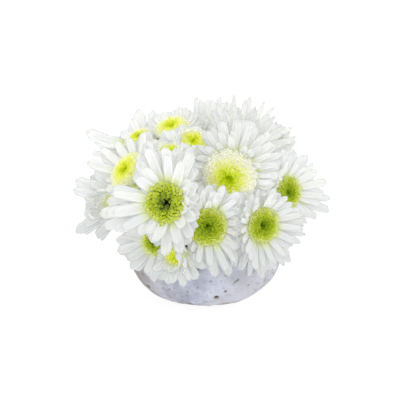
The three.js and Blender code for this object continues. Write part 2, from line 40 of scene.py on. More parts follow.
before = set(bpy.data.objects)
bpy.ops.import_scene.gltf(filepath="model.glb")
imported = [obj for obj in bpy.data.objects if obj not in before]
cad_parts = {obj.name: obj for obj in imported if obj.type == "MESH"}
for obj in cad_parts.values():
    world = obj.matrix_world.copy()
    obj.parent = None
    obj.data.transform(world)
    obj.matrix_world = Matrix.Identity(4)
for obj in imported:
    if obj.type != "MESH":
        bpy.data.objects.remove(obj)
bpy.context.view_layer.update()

MM = 0.001
TURN = 2 * math.pi
GOLDEN_ANGLE = math.pi * (3 - math.sqrt(5))

# ---------------------------------------------------------------- the plant's plan, in millimetres
# Each bloom: centre, the azimuth and elevation that it faces (azimuth 0 is the front, 90 is +X), how far
# its petals reach, its disc's radius, its kind of centre, the stem that carries it, and its level: where
# two blooms meet, the petals of the higher level lie over the other's.
BLOOMS = [
    ((-24, -60, 81), (-18, 14), 41, 11, "bud", 1, 3),
    ((0, -57, 66), (6, 4), 36, 10, "lime", 2, 2.2),
    ((34, -46, 63), (28, 6), 36, 9, "lime", 2, 3),
    ((51, -25, 79), (40, 10), 41, 8.5, "lime", 3, 2),
    ((17, -38, 96), (-14, -6), 34, 15.5, "pompon", 2, 1),
    ((-48, -14, 87), (-52, 38), 42, 12, "lemon", 6, 2.4),
    ((-22, 12, 110), (-30, 60), 31, 10, "lemon", 7, 2),
    ((-10, -20, 107), (14, 48), 28, 9, "lemon", 7, 1),
    ((-44, 15, 102), (-48, 58), 43, 9, "pompon", 6, 1.7),
    ((23, -5, 104), (10, 42), 41, 7.5, "lime", 3, 2),
    ((42, 17, 99), (60, 44), 27, 9, "lime", 3, 1),
    ((-59, -8, 68), (-32, 4), 37, 7, "pompon", 6, 1),
    ((-31, -52, 54), (-34, -2), 32, 6.5, "lime", 1, 1),
    ((-19, -65, 50), (-14, -8), 30, 5.5, "lemon", 1, 0),
    ((2, 28, 111), (150, 76), 33, 9, "lime", 7, 2),
    ((-23, -42, 105), (-8, 50), 27, 6.5, "lemon", 1, 1),
    ((-56, 36, 73), (-120, 18), 34, 10, "lime", 5, 2),
    ((-24, 52, 92), (-156, 36), 33, 10, "lime", 5, 1),
    ((21, 48, 95), (154, 40), 33, 11, "lemon", 4, 2),
    ((54, 34, 73), (120, 16), 32, 10, "lime", 4, 1),
    ((-34, 58, 59), (-150, 2), 32, 9.5, "lime", 5, 1),
    ((16, 66, 62), (168, 4), 33, 10, "lime", 4, 0),
    ((58, 2, 66), (88, 6), 27, 9, "lime", 3, 0),
]

# How far petals reach in each direction of some blooms: an angle about the bloom's own axis, from its
# east, and a share of the bloom's reach. Petals that would hardly leave the disc are left out.
OUTLINES = {
    1: [(0, 0.5), (30, 0.52), (50, 0.58), (65, 0.9), (80, 1.06), (100, 1.0), (118, 0.84), (137, 0.8),
        (146, 0.7), (151, 0.3), (165, 0.3), (171, 1.08), (180, 1.14), (190, 1.08), (206, 1.1), (222, 0.76),
        (238, 0.62), (252, 0.64), (266, 0.8), (282, 0.88), (300, 0.84), (325, 0.66)],
    2: [(0, 0.8), (30, 0.8), (53, 0.94), (72, 0.84), (95, 0.72), (130, 0.6), (170, 0.62), (195, 0.85),
        (215, 1.0), (235, 1.02), (250, 0.97), (270, 0.97), (287, 1.06), (307, 1.06), (330, 0.88)],
    3: [(0, 0.96), (12, 1.0), (30, 0.8), (65, 0.74), (90, 0.8), (120, 0.76), (150, 0.68), (180, 0.66),
        (210, 0.76), (240, 0.9), (270, 0.98), (295, 0.92), (303, 1.0), (312, 0.84), (322, 0.8), (333, 0.98),
        (342, 1.0), (350, 0.9)],
    4: [(0, 1.0), (8, 0.84), (16, 0.75), (28, 0.7), (38, 0.93), (45, 0.8), (52, 0.7), (90, 0.74),
        (120, 0.62), (150, 0.5), (180, 0.46), (210, 0.46), (240, 0.55), (270, 0.66), (292, 0.62),
        (306, 0.68), (318, 0.84), (328, 0.9), (340, 0.78), (350, 1.0)],
    6: [(0, 0.3), (30, 0.4), (60, 0.62), (90, 0.84), (118, 1.05), (135, 1.2), (150, 1.1), (168, 1.12),
        (180, 0.92), (190, 1.0), (210, 1.08), (235, 0.94), (255, 0.8), (272, 0.3), (300, 0.3), (330, 0.28)],
    7: [(0, 0.66), (30, 0.74), (60, 0.84), (90, 0.84), (120, 0.86), (150, 0.86), (180, 0.76), (210, 0.5),
        (235, 0.36), (270, 0.3), (310, 0.3), (340, 0.5)],
    8: [(0, 0.62), (30, 0.62), (90, 0.66), (120, 0.7), (150, 0.84), (170, 1.0), (185, 0.7), (210, 0.42),
        (240, 0.5), (270, 0.56), (300, 0.62), (330, 0.62)],
    9: [(0, 0.7), (45, 0.74), (90, 0.84), (120, 0.86), (140, 0.8), (156, 0.56), (172, 0.52), (186, 0.66),
        (196, 0.95), (204, 1.14), (216, 1.1), (240, 0.95), (270, 0.8), (320, 0.75)],
    12: [(0, 0.5), (60, 0.5), (90, 0.6), (120, 0.7), (140, 0.8), (155, 0.92), (163, 1.15), (170, 1.15),
         (177, 0.86), (187, 0.78), (196, 0.86), (207, 0.82), (216, 0.9), (223, 1.36), (231, 1.36),
         (238, 0.95), (246, 0.7), (257, 0.55), (270, 0.5), (320, 0.4)],
    13: [(0, 0.5), (60, 0.42), (120, 0.45), (150, 0.5), (168, 0.8), (180, 0.95), (203, 1.0), (214, 0.9),
         (226, 0.9), (240, 0.86), (252, 0.8), (265, 0.88), (285, 0.84), (300, 0.78), (330, 0.65)],
    14: [(0, 0.8), (25, 0.8), (60, 0.8), (90, 0.45), (130, 0.3), (155, 0.4), (180, 0.66), (210, 0.72),
         (235, 0.75), (255, 0.75), (270, 0.72), (285, 0.75), (300, 0.72), (320, 0.75), (340, 0.75)],
    16: [(0, 0.8), (40, 0.6), (70, 0.46), (110, 0.46), (140, 0.7), (165, 0.9), (190, 0.9), (230, 0.8),
         (270, 0.7), (320, 0.8)],
}

# Where each stem stands in the soil.
STEMS = [(-13, -19), (12, -20), (23, -4), (14, 19), (-12, 21), (-24, 3), (0, 0)]
ROOTED = 22 * MM  # how far below the soil's face a stem starts


def table(heads, *rows):
    """One dictionary for each row, by the names in its heads."""
    return [dict(zip(heads.split(), row)) for row in rows]


# Rows of petals from the outermost in. Height is above the bloom's centre, lift the angle above its
# face, curl bends it along its length, and inset keeps it that much further from its neighbours, or
# below 0 lets it reach in between their petals.
ROWS = table(
    "height lift curl reach inset width petals",
    (-1.6, -6, -10, 1.0, -3.6, 1.0, 14),
    (-0.8, 4, -2, 1.0, -3.2, 1.05, 14),
    (0.2, 16, 4, 0.94, -2.6, 1.0, 13),
    (1.2, 30, 4, 0.78, -1.8, 0.86, 11),
    (1.8, 50, 36, 0.8, -0.8, 0.9, 10),
    (2.4, 66, 50, 0.66, 0.4, 0.85, 8),
)
OPEN_ROWS = 4  # how many rows most blooms have
CUPPED = (8, 10, 11, 12, 14, 15, 16)  # the blooms with all rows, whose inner petals stand up
# By bloom: how wide and how pointed its petals are, and its share of their common number.
WIDE = {1: 1.15, 2: 0.78, 3: 0.72, 4: 0.85, 5: 0.75, 6: 1.15, 7: 0.85, 8: 1.2, 9: 1.25, 10: 0.68, 11: 0.85,
        12: 1.2, 13: 1.1, 14: 0.95, 15: 0.75, 16: 0.9}
POINTED = {2: 0.35, 3: 0.35, 4: 0.15, 5: 0.5, 9: 0.15, 10: 0.65, 11: 0.4, 12: 0.1, 14: 0.5, 15: 0.6}
SPARSE = {13: 0.8, 14: 0.55}
SPREAD = {"lift": 14, "turn": 0.5, "reach": 0.22, "curl": 26, "width": 0.3, "roll": 26}
FULLNESS = 1.4  # petals in a row for each of its common number
SHORTEST = 3.5 * MM  # petals that reach less far past the core are left out
# Walls between blooms: how far petals stay from one, how near they start to steer away, the least room
# that it leaves round a core, its lean for each level, its steepest lean, and the gap that this takes.
WALL = {"margin": 0.35 * MM, "zone": 8 * MM, "least": 1.3 * MM, "lean": 0.32, "steepest": 0.9, "gap": 12 * MM}
BUSH = {"centre": np.array([0, 0, 40]) * MM, "radii": np.array([55, 55, 44]) * MM}
CORE = {"over": 1 * MM, "half": 2.2 * MM, "gap": 0.3 * MM}
CALYX = {"share": 0.62, "depth": 9 * MM}  # its width is a share of the disc's


def shade(red, green, blue):
    """A colour that was picked on a screen, as the linear values that a shader takes."""
    picked = (red, green, blue)
    return tuple(((c / 255 + 0.055) / 1.055) ** 2.4 if c > 10 else c / 255 / 12.92 for c in picked)


# Kinds of centre. Rise and dip are shares of the disc's radius; spacing and length are the florets',
# fringe is how much longer they grow at the edge, and fan is how far they lean outwards there. Painted
# glow is an even emission, painted light that stands in for the light that comes through them; pale is
# the share of pale tips, and depth is painted shade that darkens what lies between them. The stops are
# their colours from the middle of the disc, at 0, to its edge, at 1.
CENTRES = {centre["kind"]: centre for centre in table(
    "kind rise dip spacing length fringe fan uneven glow pale depth stops",
    ("bud", 0.36, 0.36, 1.7, 2.6, 0.4, 0.6, 0.4, 0.12, 0.35, (0.46, 0.54, 0.18), (
        (0, 1, 3, 0), (0.24, 8, 16, 0), (0.38, 84, 112, 0), (0.52, 154, 180, 4), (0.75, 200, 216, 34),
        (1, 226, 236, 120))),
    ("lime", 0.42, 0.24, 1.1, 1.9, 1.1, 1.5, 0.3, 0.07, 0.3, (0.64, 0.74, 0.4), (
        (0, 40, 66, 0), (0.2, 108, 140, 0), (0.4, 160, 188, 0), (0.6, 188, 208, 14), (0.78, 208, 221, 66),
        (0.94, 234, 240, 160))),
    ("lemon", 0.78, 0.12, 1.25, 2.0, 0.9, 0.6, 0.18, 0.13, 0.35, (0.82, 0.88, 0.5), (
        (0, 160, 184, 0), (0.2, 208, 224, 10), (0.42, 240, 246, 70), (0.68, 250, 252, 170),
        (0.85, 253, 254, 224), (1, 255, 255, 244))),
    ("pompon", 0.78, 0.12, 1.1, 2.6, 0.5, 0.9, 0.18, 0.13, 0.3, (0.8, 0.86, 0.56), (
        (0, 146, 174, 0), (0.2, 192, 214, 8), (0.34, 230, 241, 56), (0.5, 246, 250, 140),
        (0.66, 252, 253, 214), (0.82, 255, 255, 246), (1, 255, 255, 252))),
)}


# ---------------------------------------------------------------- sizes and colours to change
def number_of(name, description, default, **options):
    return FloatProperty(name=name, description=description, default=default, **options)


def length(name, description, default):
    return number_of(name, description, default, min=0, subtype="DISTANCE", unit="LENGTH")


def count_of(name, description, default):
    return IntProperty(name=name, description=description, default=default, min=0)


def colour(name, description, default):
    return FloatVectorProperty(
        name=name, description=description, default=default, size=3, min=0, max=1, subtype="COLOR")


def group_of(sizes, name, description):
    return PointerProperty(type=sizes, name=name, description=description)


class BowlSizes(bpy.types.PropertyGroup):
    foot: length("Foot", "Radius of the flat foot", 0.026)
    belly: length("Belly", "Widest radius", 0.0545)
    belly_height: length("Belly height", "Height of the widest ring", 0.036)
    rim: length("Rim", "Outer radius at the rim", 0.053)
    height: length("Height", "Height of the bowl", 0.05)
    wall: length("Wall", "Thickness of the wall", 0.006)
    floor: length("Floor", "Thickness of the floor", 0.007)
    heel: length("Heel", "How much further in the inside's lower corner lies", 0.005)
    drain: length("Drain hole", "Radius of a drain hole", 0.004)
    drain_circle: length("Drain circle", "Radius of the circle that the drain holes lie on", 0.015)
    lump: length("Lumps", "How far the hand-made wall swells in and out", 0.0007)
    whitewash: colour("Whitewash", "Colour of the limed face", shade(216, 219, 235))
    cement: colour("Bare cement", "Colour where the whitewash is worn off", shade(140, 128, 116))


class SoilSizes(bpy.types.PropertyGroup):
    top: length("Top", "Height of the soil's face", 0.043)
    crumb: length("Crumb", "Size of a large crumb", 0.0021)
    crumbs: count_of("Crumbs", "Crumbs to a square centimetre", 9)
    earth: colour("Earth", "Colour of damp potting soil", shade(66, 50, 38))


class StemSizes(bpy.types.PropertyGroup):
    trunk: length("Stem", "Radius of a stem", 0.0022)
    branch: length("Branch", "Radius of a flower branch", 0.0013)
    petiole: length("Leaf stalk", "Radius of a leaf's stalk", 0.0008)
    leaf: length("Leaf", "Length of a large leaf", 0.034)
    leaf_width: length("Leaf width", "Width of a large leaf", 0.022)
    leaves: count_of("Leaves", "Leaves of the whole plant", 104)
    leaf_colour: colour("Leaf colour", "Colour of a leaf's face", shade(62, 88, 36))
    stem_colour: colour("Stem colour", "Colour of stems and calyces", shade(112, 142, 62))


class PetalSizes(bpy.types.PropertyGroup):
    width: length("Width", "Width of a common petal", 0.0072)
    thickness: length("Thickness", "Thickness of a petal's middle", 0.0006)
    cup: number_of("Cup", "How far a petal's edges turn up, as a share of its width", 0.2)
    groove: number_of("Grooves", "Depth of a petal's two grooves, as a share of its width", 0.08)
    white: colour("White", "Colour of a petal's blade", shade(234, 236, 241))
    throat: colour("Throat", "Colour of a petal's narrow base", shade(206, 220, 96))


class StudioSizes(bpy.types.PropertyGroup):
    distance: length("Distance", "From the camera to the plant's middle", 0.6)
    elevation: number_of(
        "Elevation", "Height of the camera as an angle", math.radians(15), subtype="ANGLE", unit="ROTATION")
    focal: number_of("Lens", "Focal length in millimetres", 77.14)
    key: number_of("Key light", "Strength of the key light", 0.05)
    sky: number_of("Surround", "Brightness of the white surround", 0.95)


class PotChrysanthemum(bpy.types.PropertyGroup):
    bowl: group_of(BowlSizes, "Bowl", "Sizes and colours of the bowl")
    soil: group_of(SoilSizes, "Soil", "Sizes and colours of the soil")
    stem: group_of(StemSizes, "Stems", "Sizes and colours of stems and leaves")
    petal: group_of(PetalSizes, "Petals", "Sizes and colours of the petals")
    studio: group_of(StudioSizes, "Studio", "Camera and lights")


# ---------------------------------------------------------------- node trees written as expressions
def arithmetic(operation, reflected=False):
    """A method that puts a wire and other values through a Math node."""

    def method(self, *others):
        values = (*others, self) if reflected else (self, *others)
        return self.net.add("ShaderNodeMath", {"operation": operation}, dict(enumerate(values)))

    return method


class Wire:
    """An output socket that arithmetic is written with."""

    def __init__(self, net, socket):
        self.net = net
        self.socket = socket

    __add__ = __radd__ = arithmetic("ADD")
    __mul__ = __rmul__ = arithmetic("MULTIPLY")
    __sub__, __rsub__ = arithmetic("SUBTRACT"), arithmetic("SUBTRACT", reflected=True)
    __truediv__, __rtruediv__ = arithmetic("DIVIDE"), arithmetic("DIVIDE", reflected=True)
    __pow__ = arithmetic("POWER")
    __abs__ = arithmetic("ABSOLUTE")
    lesser = arithmetic("MINIMUM")
    greater = arithmetic("MAXIMUM")
    above = arithmetic("GREATER_THAN")
    fraction = arithmetic("FRACT")
    sine = arithmetic("SINE")
    cosine = arithmetic("COSINE")

    def ramp(self, low, high):
        """0 below low, 1 above high, and a smooth step between them; low may be over high."""
        settings = {"interpolation_type": "SMOOTHSTEP"}
        if low < high:
            return self.net.add("ShaderNodeMapRange", settings, {0: self, 1: low, 2: high})
        return 1 - self.net.add("ShaderNodeMapRange", settings, {0: self, 1: high, 2: low})

    def output(self, name):
        """Another output of the same node."""
        return Wire(self.net, self.socket.node.outputs[name])


class Net:
    """A node tree that nodes are added to by type, settings and inputs."""

    def __init__(self, tree):
        self.tree = tree

    def add(self, kind, settings=None, inputs=None, output=0):
        node = self.tree.nodes.new(kind)
        for name, value in (settings or {}).items():
            if name == "stops":
                elements = node.color_ramp.elements
                while len(elements) < len(value):
                    elements.new(1)
                for element, (place, *rgb) in zip(elements, value):
                    element.position = place
                    element.color = (*shade(*rgb), 1)
            else:
                setattr(node, name, value)
        for key, value in (inputs or {}).items():
            if isinstance(value, Wire):
                self.tree.links.new(value.socket, node.inputs[key])
            else:
                node.inputs[key].default_value = value
        return Wire(self, node.outputs[output])

    def mix(self, factor, first, second, blend="MIX"):
        """A colour between two others, which are triples or wires."""
        pair = [c if isinstance(c, Wire) else (*c, 1) for c in (first, second)]
        settings = {"data_type": "RGBA", "blend_type": blend}
        return self.add("ShaderNodeMix", settings, {0: factor, 6: pair[0], 7: pair[1]}, 2)

    def vector(self, x, y, z):
        return self.add("ShaderNodeCombineXYZ", None, {0: x, 1: y, 2: z})

    def part(self, vector, letter="X"):
        return self.add("ShaderNodeSeparateXYZ", None, {0: vector}, letter)

    def place(self, kind="Object"):
        return self.add("ShaderNodeTexCoord", None, None, kind)


class Finish(Net):
    """A material under way: its tree, with a Principled shader that leads to its output."""

    def __init__(self, name, **constants):
        self.material = bpy.data.materials.new(name)
        self.material.use_nodes = True
        super().__init__(self.material.node_tree)
        self.principled = self.tree.nodes["Principled BSDF"]
        for socket, value in constants.items():
            self.principled.inputs[socket.replace("_", " ")].default_value = value

    def attribute(self, name):
        return self.add("ShaderNodeAttribute", {"attribute_name": name}, None, "Fac")

    def across_and_along(self):
        """The two coordinates of the piece's UV map."""
        across = self.part(self.add("ShaderNodeUVMap"))
        return across, across.output("Y")

    def noise(self, place, scale, detail=3, roughness=0.5):
        inputs = {"Vector": place, "Scale": scale, "Detail": detail, "Roughness": roughness}
        return self.add("ShaderNodeTexNoise", None, inputs)

    def feed(self, **wires):
        for socket, wire in wires.items():
            self.tree.links.new(wire.socket, self.principled.inputs[socket.replace("_", " ")])
        return self.material

    def relief(self, height, distance, strength=1.0):
        """A normal that follows a height given as a share of a distance."""
        inputs = {"Height": height, "Distance": distance, "Strength": strength}
        return self.add("ShaderNodeBump", None, inputs)


def tint(rgb, factor):
    return tuple(factor * c for c in rgb)


def whitewash_finish(bowl):
    """Limewash on rough cement: cloudy, stained in drifts, worn to the bare cement in specks and pits,
    and darker and browner towards the foot. It also carries painted light: its right side is painted
    lighter, and painted shade darkens and browns its left side and darkens its pits past the bare cement.
    """
    look = Finish("whitewash", Roughness=0.9, Specular_IOR_Level=0.25)
    place = look.place()
    cloud = look.noise(place, 48, 5, 0.62)
    drift = look.noise(place, 18)
    grain = look.noise(place, 900, 4, 0.7)
    speck = look.noise(place, 260, 3, 0.6)
    dust = look.noise(place, 620, 2)
    side = look.part(place)
    face = look.mix(cloud.ramp(0.36, 0.64), shade(172, 175, 192), bowl.whitewash)
    # Painted light: the bowl's right side is painted lighter.
    face = look.mix(side.ramp(0.0, 0.045) * 0.7, face, shade(226, 229, 245))
    face = look.mix(drift.ramp(0.46, 0.7) * 0.5, face, shade(196, 190, 186))
    # Painted shade: the bowl's left side is painted darker and browner.
    painted_left_shade = (side + (drift - 0.5) * 0.07).ramp(-0.012, -0.058) * 0.8
    face = look.mix(painted_left_shade, face, shade(150, 141, 130))
    foot = (side.output("Z") + (cloud - 0.5) * 0.016).ramp(0.008, 0.0) * 0.55
    face = look.mix(foot, face, shade(146, 137, 128))
    worn = speck.ramp(0.58, 0.66) * cloud.ramp(0.62, 0.4) * 0.8 + dust.ramp(0.66, 0.74) * 0.6
    face = look.mix(worn.lesser(1), face, bowl.cement)
    # The pits show bare cement, painted darker still as shade in the hollows.
    face = look.mix(look.attribute("pit").ramp(0.15, 0.8), face, shade(96, 84, 70))
    height = grain * 0.6 + look.noise(place, 320) * 0.9 - speck.ramp(0.6, 0.7) * 0.8
    return look.feed(Base_Color=face, Normal=look.relief(height, 0.0008))


def earth_finish(soil):
    """Damp potting soil: dark, with paler fibres and crumbs."""
    look = Finish("earth", Roughness=0.95)
    crumb = look.noise(look.place(), 420, 4, 0.7)
    dark = look.mix(crumb.ramp(0.3, 0.75), tint(soil.earth, 0.45), tint(soil.earth, 1.4))
    return look.feed(Base_Color=dark, Normal=look.relief(crumb, 0.0008))


def leaf_finish(stem):
    """A leaf's dull dark face with a paler midrib and side veins."""
    look = Finish("leaf", Roughness=0.6, Subsurface_Weight=0.08, Subsurface_Scale=0.001)
    side, along = look.across_and_along()
    across = abs(side - 0.5) * 2
    midrib = across.ramp(0.1, 0.02)
    comb = (along * 7 - across * 2.2).fraction()
    vein = abs(comb - 0.5).ramp(0.09, 0.02) * across.ramp(0.98, 0.7)
    cloud = look.noise(look.place(), 130)
    face = look.mix(cloud, tint(stem.leaf_colour, 0.6), tint(stem.leaf_colour, 1.25))
    veined = look.mix((midrib + vein * 0.6).lesser(1) * 0.6, face, shade(128, 152, 82))
    height = cloud * 0.5 - midrib - vein * 0.6
    return look.feed(Base_Color=veined, Normal=look.relief(height, 0.0006, 0.7))


def stem_finish(stem):
    """Green stems and calyces with fine ridges and a dusty bloom."""
    look = Finish("stem", Roughness=0.6)
    place = look.place()
    cloud = look.noise(place, 240)
    ridge = look.noise(place, 1500, 2)
    face = look.mix(cloud.ramp(0.3, 0.7), tint(stem.stem_colour, 0.6), stem.stem_colour)
    return look.feed(Base_Color=face, Normal=look.relief(ridge, 0.0003, 0.6))


def petal_finish(petal):
    """White petals with a yellow-green throat and fine veins along the blade. Painted shade darkens their
    border and tip and greys them towards the soil, and a faint even glow of painted light lifts their shade."""
    look = Finish(
        "petal",
        Roughness=0.5,
        Specular_IOR_Level=0.35,
        Subsurface_Weight=0.35,
        Subsurface_Radius=(1.0, 0.98, 0.9),
        Subsurface_Scale=0.0012,
        # Painted light: an even glow that lifts the shade between and behind the petals.
        Emission_Color=(1.0, 1.0, 0.96, 1),
        Emission_Strength=0.14,
    )
    look.principled.subsurface_method = "BURLEY"
    across, along = look.across_and_along()
    own = look.attribute("own")
    fibre = look.noise(look.vector(across * 15, along * 1.1, own * 60), 1.0, 2)
    ridge = (across * 24 + fibre * 5).sine() * 0.5 + 0.5
    blade = look.mix(own, petal.white, shade(243, 243, 242))
    blade = look.mix(fibre.ramp(0.5, 0.7) * 0.6 + ridge * 0.25, blade, shade(220, 222, 216))
    # Painted shade: the blade's border and tip are painted greyer.
    edge = abs(across - 0.5).ramp(0.34, 0.5)
    blade = look.mix(edge.greater(along.ramp(0.93, 1.0)) * 0.42, blade, shade(190, 196, 190))
    # Painted shade: the lower the petal, the greyer it is painted, as if shaded by the blooms above.
    height = look.part(look.place(), "Z")
    blade = look.mix(height.ramp(0.105, 0.03) * 0.5, blade, shade(184, 188, 191))
    blade = look.mix((along + (own - 0.5) * 0.12).ramp(0.55, 0.12), blade, petal.throat)
    return look.feed(Base_Color=blade, Normal=look.relief(fibre * 0.6 + ridge * 0.4, 0.00035, 0.7))


def floret_finish(centre):
    """Florets coloured from the disc's middle to its edge, with painted shade in the depths between them
    and a faint glow of painted light.
    """
    look = Finish(
        "florets_" + centre["kind"],
        Roughness=0.6,
        Specular_IOR_Level=0.05,
        Subsurface_Weight=0.2,
        Subsurface_Radius=(1.0, 0.95, 0.5),
        Subsurface_Scale=0.0012,
        # Painted light: the florets glow faintly in their own colours.
        Emission_Strength=centre["glow"],
    )
    look.principled.subsurface_method = "BURLEY"
    ring, tip, own = (look.attribute(name) for name in ("ring", "tip", "own"))
    hue = look.add("ShaderNodeValToRGB", {"stops": centre["stops"]}, {0: ring + (own - 0.5) * 0.24})
    # Painted shade: each floret is darker towards its base, deep between the others.
    low = look.mix(1.0, hue, centre["depth"], "MULTIPLY")
    shaded_hue = look.mix(tip.ramp(0.0, 0.7), low, hue)
    pale = look.mix(tip.ramp(0.8, 1.0) * ring.ramp(0.15, 0.6) * centre["pale"], shaded_hue, shade(238, 242, 172))
    grain = look.noise(look.place(), 2600, 2)
    return look.feed(Base_Color=pale, Emission_Color=pale, Normal=look.relief(grain, 0.0002, 0.5))


# ---------------------------------------------------------------- meshes from numbers
def chance(a, b=0, c=0, d=0):
    """Repeatable numbers from 0 to 1 for whole-number keys."""
    return np.mod(np.sin(a * 12.9898 + b * 78.233 + c * 37.719 + d * 4.581) * 43758.5453, 1)


def unit(vectors):
    return vectors / np.maximum(np.linalg.norm(vectors, axis=-1, keepdims=True), 1e-12)


def dot(a, b):
    return np.sum(a * b, axis=-1, keepdims=True)


def smooth(x):
    x = np.clip(x, 0, 1)
    return x * x * (3 - 2 * x)


class Sheet:
    """Points, faces, a spot on the surface for each point, and numbers that points carry."""

    def __init__(self, points, faces, spots=None, **numbers):
        self.points = np.asarray(points, float).reshape(-1, 3)
        self.faces = [list(face) for face in faces]
        spots = np.zeros((len(self.points), 2)) if spots is None else spots
        self.spots = np.asarray(spots, float).reshape(-1, 2)
        self.numbers = {name: np.broadcast_to(v, len(self.points)) for name, v in numbers.items()}

    def join(self, other):
        start = len(self.points)
        self.points = np.vstack([self.points, other.points])
        self.faces += [[start + i for i in face] for face in other.faces]
        self.spots = np.vstack([self.spots, other.spots])
        self.numbers = {name: np.concatenate([v, other.numbers[name]]) for name, v in self.numbers.items()}
        return self

    def mesh(self, name, *materials):
        mesh = bpy.data.meshes.new(name)
        mesh.from_pydata(self.points.tolist(), [], self.faces)
        mesh.validate()
        corners = np.zeros(len(mesh.loops), np.int32)
        mesh.loops.foreach_get("vertex_index", corners)
        mesh.uv_layers.new(name="UVMap").data.foreach_set("uv", self.spots[corners].ravel())
        for key, values in self.numbers.items():
            mark(mesh, key, values)
        for material in materials:
            mesh.materials.append(material)
        mesh.shade_smooth()
        return mesh


def mark(mesh, name, values, kind="FLOAT", slot="value"):
    """Gives each point of a mesh its own number or vector."""
    values = np.asarray(values, np.float32).ravel()
    mesh.attributes.new(name, kind, "POINT").data.foreach_set(slot, values)


def new_object(mesh):
    piece = bpy.data.objects.new(mesh.name, mesh)
    bpy.context.scene.collection.objects.link(piece)
    return piece


def plain_mesh(maker, name):
    """What an object's modifiers make of it, as a plain mesh; the maker is removed."""
    bpy.context.view_layer.update()
    depsgraph = bpy.context.evaluated_depsgraph_get()
    source = maker.evaluated_get(depsgraph)
    mesh = bpy.data.meshes.new_from_object(source, preserve_all_data_layers=True, depsgraph=depsgraph)
    mesh.name = name
    bpy.data.objects.remove(maker)
    return mesh


def seat(piece, slot, *nodes):
    """Puts a finished piece in the place of its solids."""
    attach(piece, "root")
    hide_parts(*nodes)
    return piece


def quad(k, s, sides):
    """The face between rings k and k + 1 of points, from side s to the next."""
    n = (s + 1) % sides
    return [k * sides + s, k * sides + n, (k + 1) * sides + n, (k + 1) * sides + s]


def turned(profile, sides, stray=None, **options):
    """A closed profile of (radius, height) from the axis back to the axis, turned round it."""
    profile = np.asarray(profile, float)
    ring = profile[1:-1]
    angle = np.arange(sides) / sides * TURN
    factor = np.ones(sides) if stray is None else stray(angle)
    x = ring[:, :1] * (np.cos(angle) * factor)
    y = ring[:, :1] * (np.sin(angle) * factor)
    z = np.repeat(ring[:, 1:], sides, axis=1)
    ends = [[0, 0, profile[0, 1]], [0, 0, profile[-1, 1]]]
    points = np.vstack([np.stack([x, y, z], -1).reshape(-1, 3), ends])
    last = (len(ring) - 1) * sides
    foot, top = last + sides, last + sides + 1
    faces = []
    for s in range(sides):
        n = (s + 1) % sides
        faces.append([foot, n, s])
        faces += [quad(k, s, sides) for k in range(len(ring) - 1)]
        faces.append([top, last + s, last + n])
    return Sheet(points, faces, **options)


# ---------------------------------------------------------------- the spaces between blooms
class Bloom:
    """One flower head, with the planes that part its petals from its neighbours'."""

    def __init__(self, number, at, faces, reach, disc, kind, stem, level):
        azimuth, elevation = (math.radians(a) for a in faces)
        flat = math.cos(elevation)
        self.number = number
        self.name = f"bloom_{number:02d}"
        self.centre = np.array(at) * MM
        self.axis = np.array([math.sin(azimuth) * flat, -math.cos(azimuth) * flat, math.sin(elevation)])
        self.east = unit(np.cross([0, 0, 1], self.axis))
        self.north = np.cross(self.axis, self.east)
        self.reach = reach * MM
        self.disc = disc * MM
        self.core = self.disc + CORE["over"]
        self.kind = kind
        self.stem = stem
        self.level = level
        self.walls = []

    def matrix(self):
        """Takes a shape made about +Z to this bloom."""
        turn = Matrix([self.east, self.north, self.axis]).transposed().to_4x4()
        return Matrix.Translation(self.centre) @ turn

    def radial(self, azimuth):
        """The directions in the bloom's face at angles, which are a column."""
        return self.east * np.cos(azimuth) + self.north * np.sin(azimuth)

    def walls_at(self, points, inset):
        """Each wall near each point, as a normal and a limit, with the bush's inside as the last. Past a
        wall there is only so much to spare up to the neighbour's core."""
        scaled = (points - BUSH["centre"]) / BUSH["radii"]
        slope = scaled / BUSH["radii"]
        size = np.linalg.norm(scaled, axis=-1, keepdims=True)
        distance = (size - 1) * size / np.linalg.norm(slope, axis=-1, keepdims=True)
        inwards = -unit(slope)
        walls = [*self.walls, (inwards, dot(inwards, points) + distance, 0.0)]
        for normal, limit, spare in walls:
            room = limit - dot(normal, self.centre) - self.core - WALL["least"]
            yield normal, limit - np.clip(inset, -spare, np.maximum(room, 0))

    def room(self, azimuth, lift):
        """How far it is from the core's edge to the nearest wall for petals of an azimuth and a lift."""
        radial = self.radial(azimuth[:, None])
        start = self.centre + radial * self.core
        radial = radial * np.cos(lift)[:, None] + self.axis * np.sin(lift)[:, None]
        free = np.full(len(azimuth), 1.0)
        for normal, limit, _ in self.walls:
            towards = dot(normal, radial)[:, 0]
            distance = (limit - dot(normal, start)[:, 0]) / np.maximum(towards, 0.05)
            free = np.where(towards > 0.05, np.minimum(free, distance), free)
        return np.maximum(free, 0)

    def steer(self, points, heading, inset):
        """Turns headings away from the walls that they near: up along the bloom's axis, or down along it
        under a wall that leans over the bloom."""
        for normal, limit in self.walls_at(points, inset):
            allowed = np.clip((limit - dot(normal, points)) / WALL["zone"], -1, 1)
            excess = np.maximum(dot(normal, heading) - allowed, 0)
            over = dot(self.axis, normal)
            rise = (self.axis - normal * over) * np.clip(1 - 5 * over, -1, 1)
            heading = np.where(excess > 0, unit(heading - normal * excess + rise * excess), heading)
        return heading

    def confine(self, points, inset):
        """Moves points out of the space over the disc and of what lies past a wall."""
        offset = points - self.centre
        height = dot(offset, self.axis)
        flat = offset - height * self.axis
        radius = np.linalg.norm(flat, axis=-1, keepdims=True)
        short = np.where(height > CORE["half"] - 0.6 * MM, self.disc + 0.4 * MM - radius, 0)
        points = points + unit(flat) * np.maximum(short, 0)
        for _ in range(3):
            for normal, limit in self.walls_at(points, inset):
                points = points - normal * np.maximum(dot(normal, points) - limit, 0)
        return points


